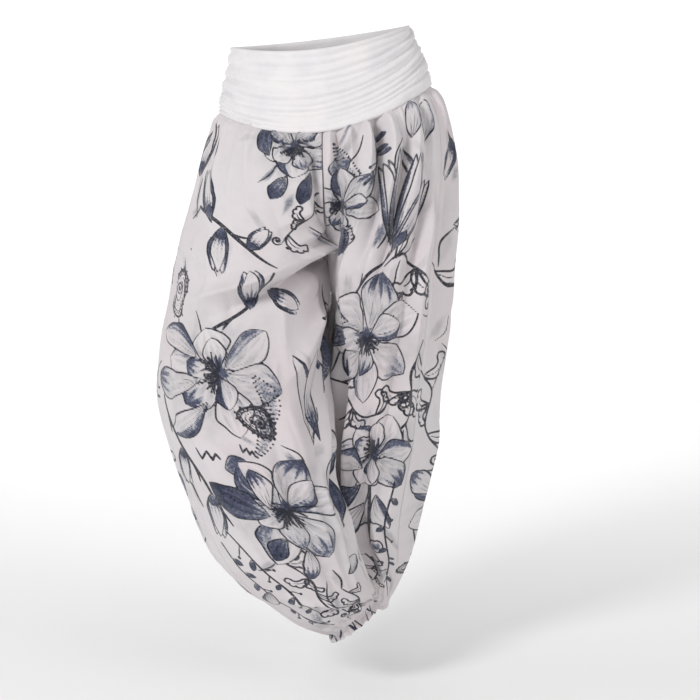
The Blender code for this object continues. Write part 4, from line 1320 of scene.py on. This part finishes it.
class HaremPantsSettings(bpy.types.PropertyGroup):
    """Sizes and colours of the pants."""

    cloth_thickness: FloatProperty(
        name="Cloth thickness", description="Thickness of the leg cloth", default=0.0007, min=0.0003, max=0.002,
        unit="LENGTH",
    )
    crease_scale: FloatProperty(
        name="Crease depth", description="Depth of the legs' creases against their own sizes", default=1.7, min=0, max=3
    )
    gather_scale: FloatProperty(
        name="Gather depth", description="Depth of the gathers at the waist and ankles", default=1.8, min=0, max=3
    )
    ruche_scale: FloatProperty(
        name="Ruching depth", description="Depth of the waistband's ruching", default=2.1, min=0, max=3
    )
    ground: FloatVectorProperty(
        name="Ground", description="Colour of the leg cloth", default=(0.69, 0.655, 0.668), min=0, max=1,
        subtype="COLOR",
    )
    navy: FloatVectorProperty(
        name="Navy wash", description="Deepest colour of the print's wash", default=(0.014, 0.017, 0.042), min=0, max=1,
        subtype="COLOR",
    )
    ink: FloatVectorProperty(
        name="Ink", description="Colour of the print's lines", default=(0.007, 0.008, 0.020), min=0, max=1,
        subtype="COLOR",
    )
    jersey: FloatVectorProperty(
        name="Jersey", description="Colour of the waistband", default=(0.82, 0.795, 0.80), min=0, max=1, subtype="COLOR"
    )


class HAREM_OT_leg_panels(bpy.types.Operator):
    """Make the four printed leg panels"""

    bl_idname = "harem_pants.leg_panels"
    bl_label = "Leg panels"

    def execute(self, context):
        settings = context.scene.harem_pants
        material = viscose("viscose_print", looks(settings))
        for side in (RIGHT, LEFT):
            for face in (1, -1):
                leg_panel(side, face, settings, material)
        return {"FINISHED"}


class HAREM_OT_waistband(bpy.types.Operator):
    """Make the ruched jersey waistband"""

    bl_idname = "harem_pants.waistband"
    bl_label = "Waistband"

    def execute(self, context):
        settings = context.scene.harem_pants
        material = jersey("white_jersey", looks(settings))
        waistband_half("waistband_front", 0, math.pi, FRONT_RUCHES, settings, material, 3)
        waistband_half("waistband_back", math.pi, 2 * math.pi, BACK_RUCHES, settings, material, 5)
        return {"FINISHED"}


class HAREM_OT_cuffs(bpy.types.Operator):
    """Make the two gathered cuffs"""

    bl_idname = "harem_pants.cuffs"
    bl_label = "Cuffs"

    def execute(self, context):
        material = viscose("viscose_cuff", looks(context.scene.harem_pants))
        for side in (RIGHT, LEFT):
            gathered_cuff(side, material)
        return {"FINISHED"}


class HAREM_OT_stage(bpy.types.Operator):
    """Set up the floor, the light and the camera"""

    bl_idname = "harem_pants.stage"
    bl_label = "Stage"

    def execute(self, context):
        scene = context.scene
        mesh = bpy.data.meshes.new("floor")
        profile = [(-FLOOR_REACH, 0.0), (COVE_START, 0.0)]
        for k in range(1, 13):
            bend = k * math.pi / 24
            profile.append((COVE_START + COVE_RADIUS * math.sin(bend), COVE_RADIUS - COVE_RADIUS * math.cos(bend)))
        profile.append((COVE_START + COVE_RADIUS, BACKDROP_TOP))
        points = [(x, y, FLOOR + z) for y, z in profile for x in (-FLOOR_REACH, FLOOR_REACH)]
        mesh.from_pydata(points, [], [(2 * k, 2 * k + 1, 2 * k + 3, 2 * k + 2) for k in range(len(profile) - 1)])
        mesh.shade_smooth()
        floor = bpy.data.objects.new("floor", mesh)
        floor.data.materials.append(plain("pale_floor", (0.93, 0.93, 0.93), 0.9))
        scene.collection.objects.link(floor)
        world = bpy.data.worlds.new("studio")
        world.use_nodes = True
        sky = world.node_tree.nodes["Background"]
        sky.inputs["Color"].default_value = (1.0, 1.0, 1.0, 1)
        sky.inputs["Strength"].default_value = WORLD_LIGHT
        scene.world = world
        for lamp in LAMPS:
            light = bpy.data.lights.new(lamp.name, "AREA")
            light.shape = "DISK"
            light.size = lamp.size
            light.energy = lamp.energy
            aimed(lamp.name, light, lamp.place, lamp.aim)
        lens = bpy.data.cameras.new("camera")
        lens.lens = LENS
        lens.sensor_width = 36.0
        scene.camera = aimed("camera", lens, CAMERA, CAMERA_AIM)
        scene.view_settings.view_transform = "Standard"
        return {"FINISHED"}


class HAREM_PT_panel(bpy.types.Panel):
    """Shows the settings and the buttons that make the pieces"""

    bl_label = "Harem Pants"
    bl_idname = "HAREM_PT_panel"
    bl_space_type = "VIEW_3D"
    bl_region_type = "UI"
    bl_category = "Harem Pants"

    def draw(self, context):
        for name in HaremPantsSettings.__annotations__:
            self.layout.prop(context.scene.harem_pants, name)
        for operator in (HAREM_OT_leg_panels, HAREM_OT_waistband, HAREM_OT_cuffs, HAREM_OT_stage):
            self.layout.operator(operator.bl_idname)


CLASSES = (
    HaremPantsSettings,
    HAREM_OT_leg_panels,
    HAREM_OT_waistband,
    HAREM_OT_cuffs,
    HAREM_OT_stage,
    HAREM_PT_panel,
)


def register():
    for made in CLASSES:
        bpy.utils.register_class(made)
    bpy.types.Scene.harem_pants = PointerProperty(type=HaremPantsSettings)


def unregister():
    del bpy.types.Scene.harem_pants
    for made in reversed(CLASSES):
        bpy.utils.unregister_class(made)


def main():
    register()
    bpy.ops.harem_pants.leg_panels()
    bpy.ops.harem_pants.waistband()
    bpy.ops.harem_pants.cuffs()
    bpy.ops.harem_pants.stage()


if __name__ == "__main__":
    main()
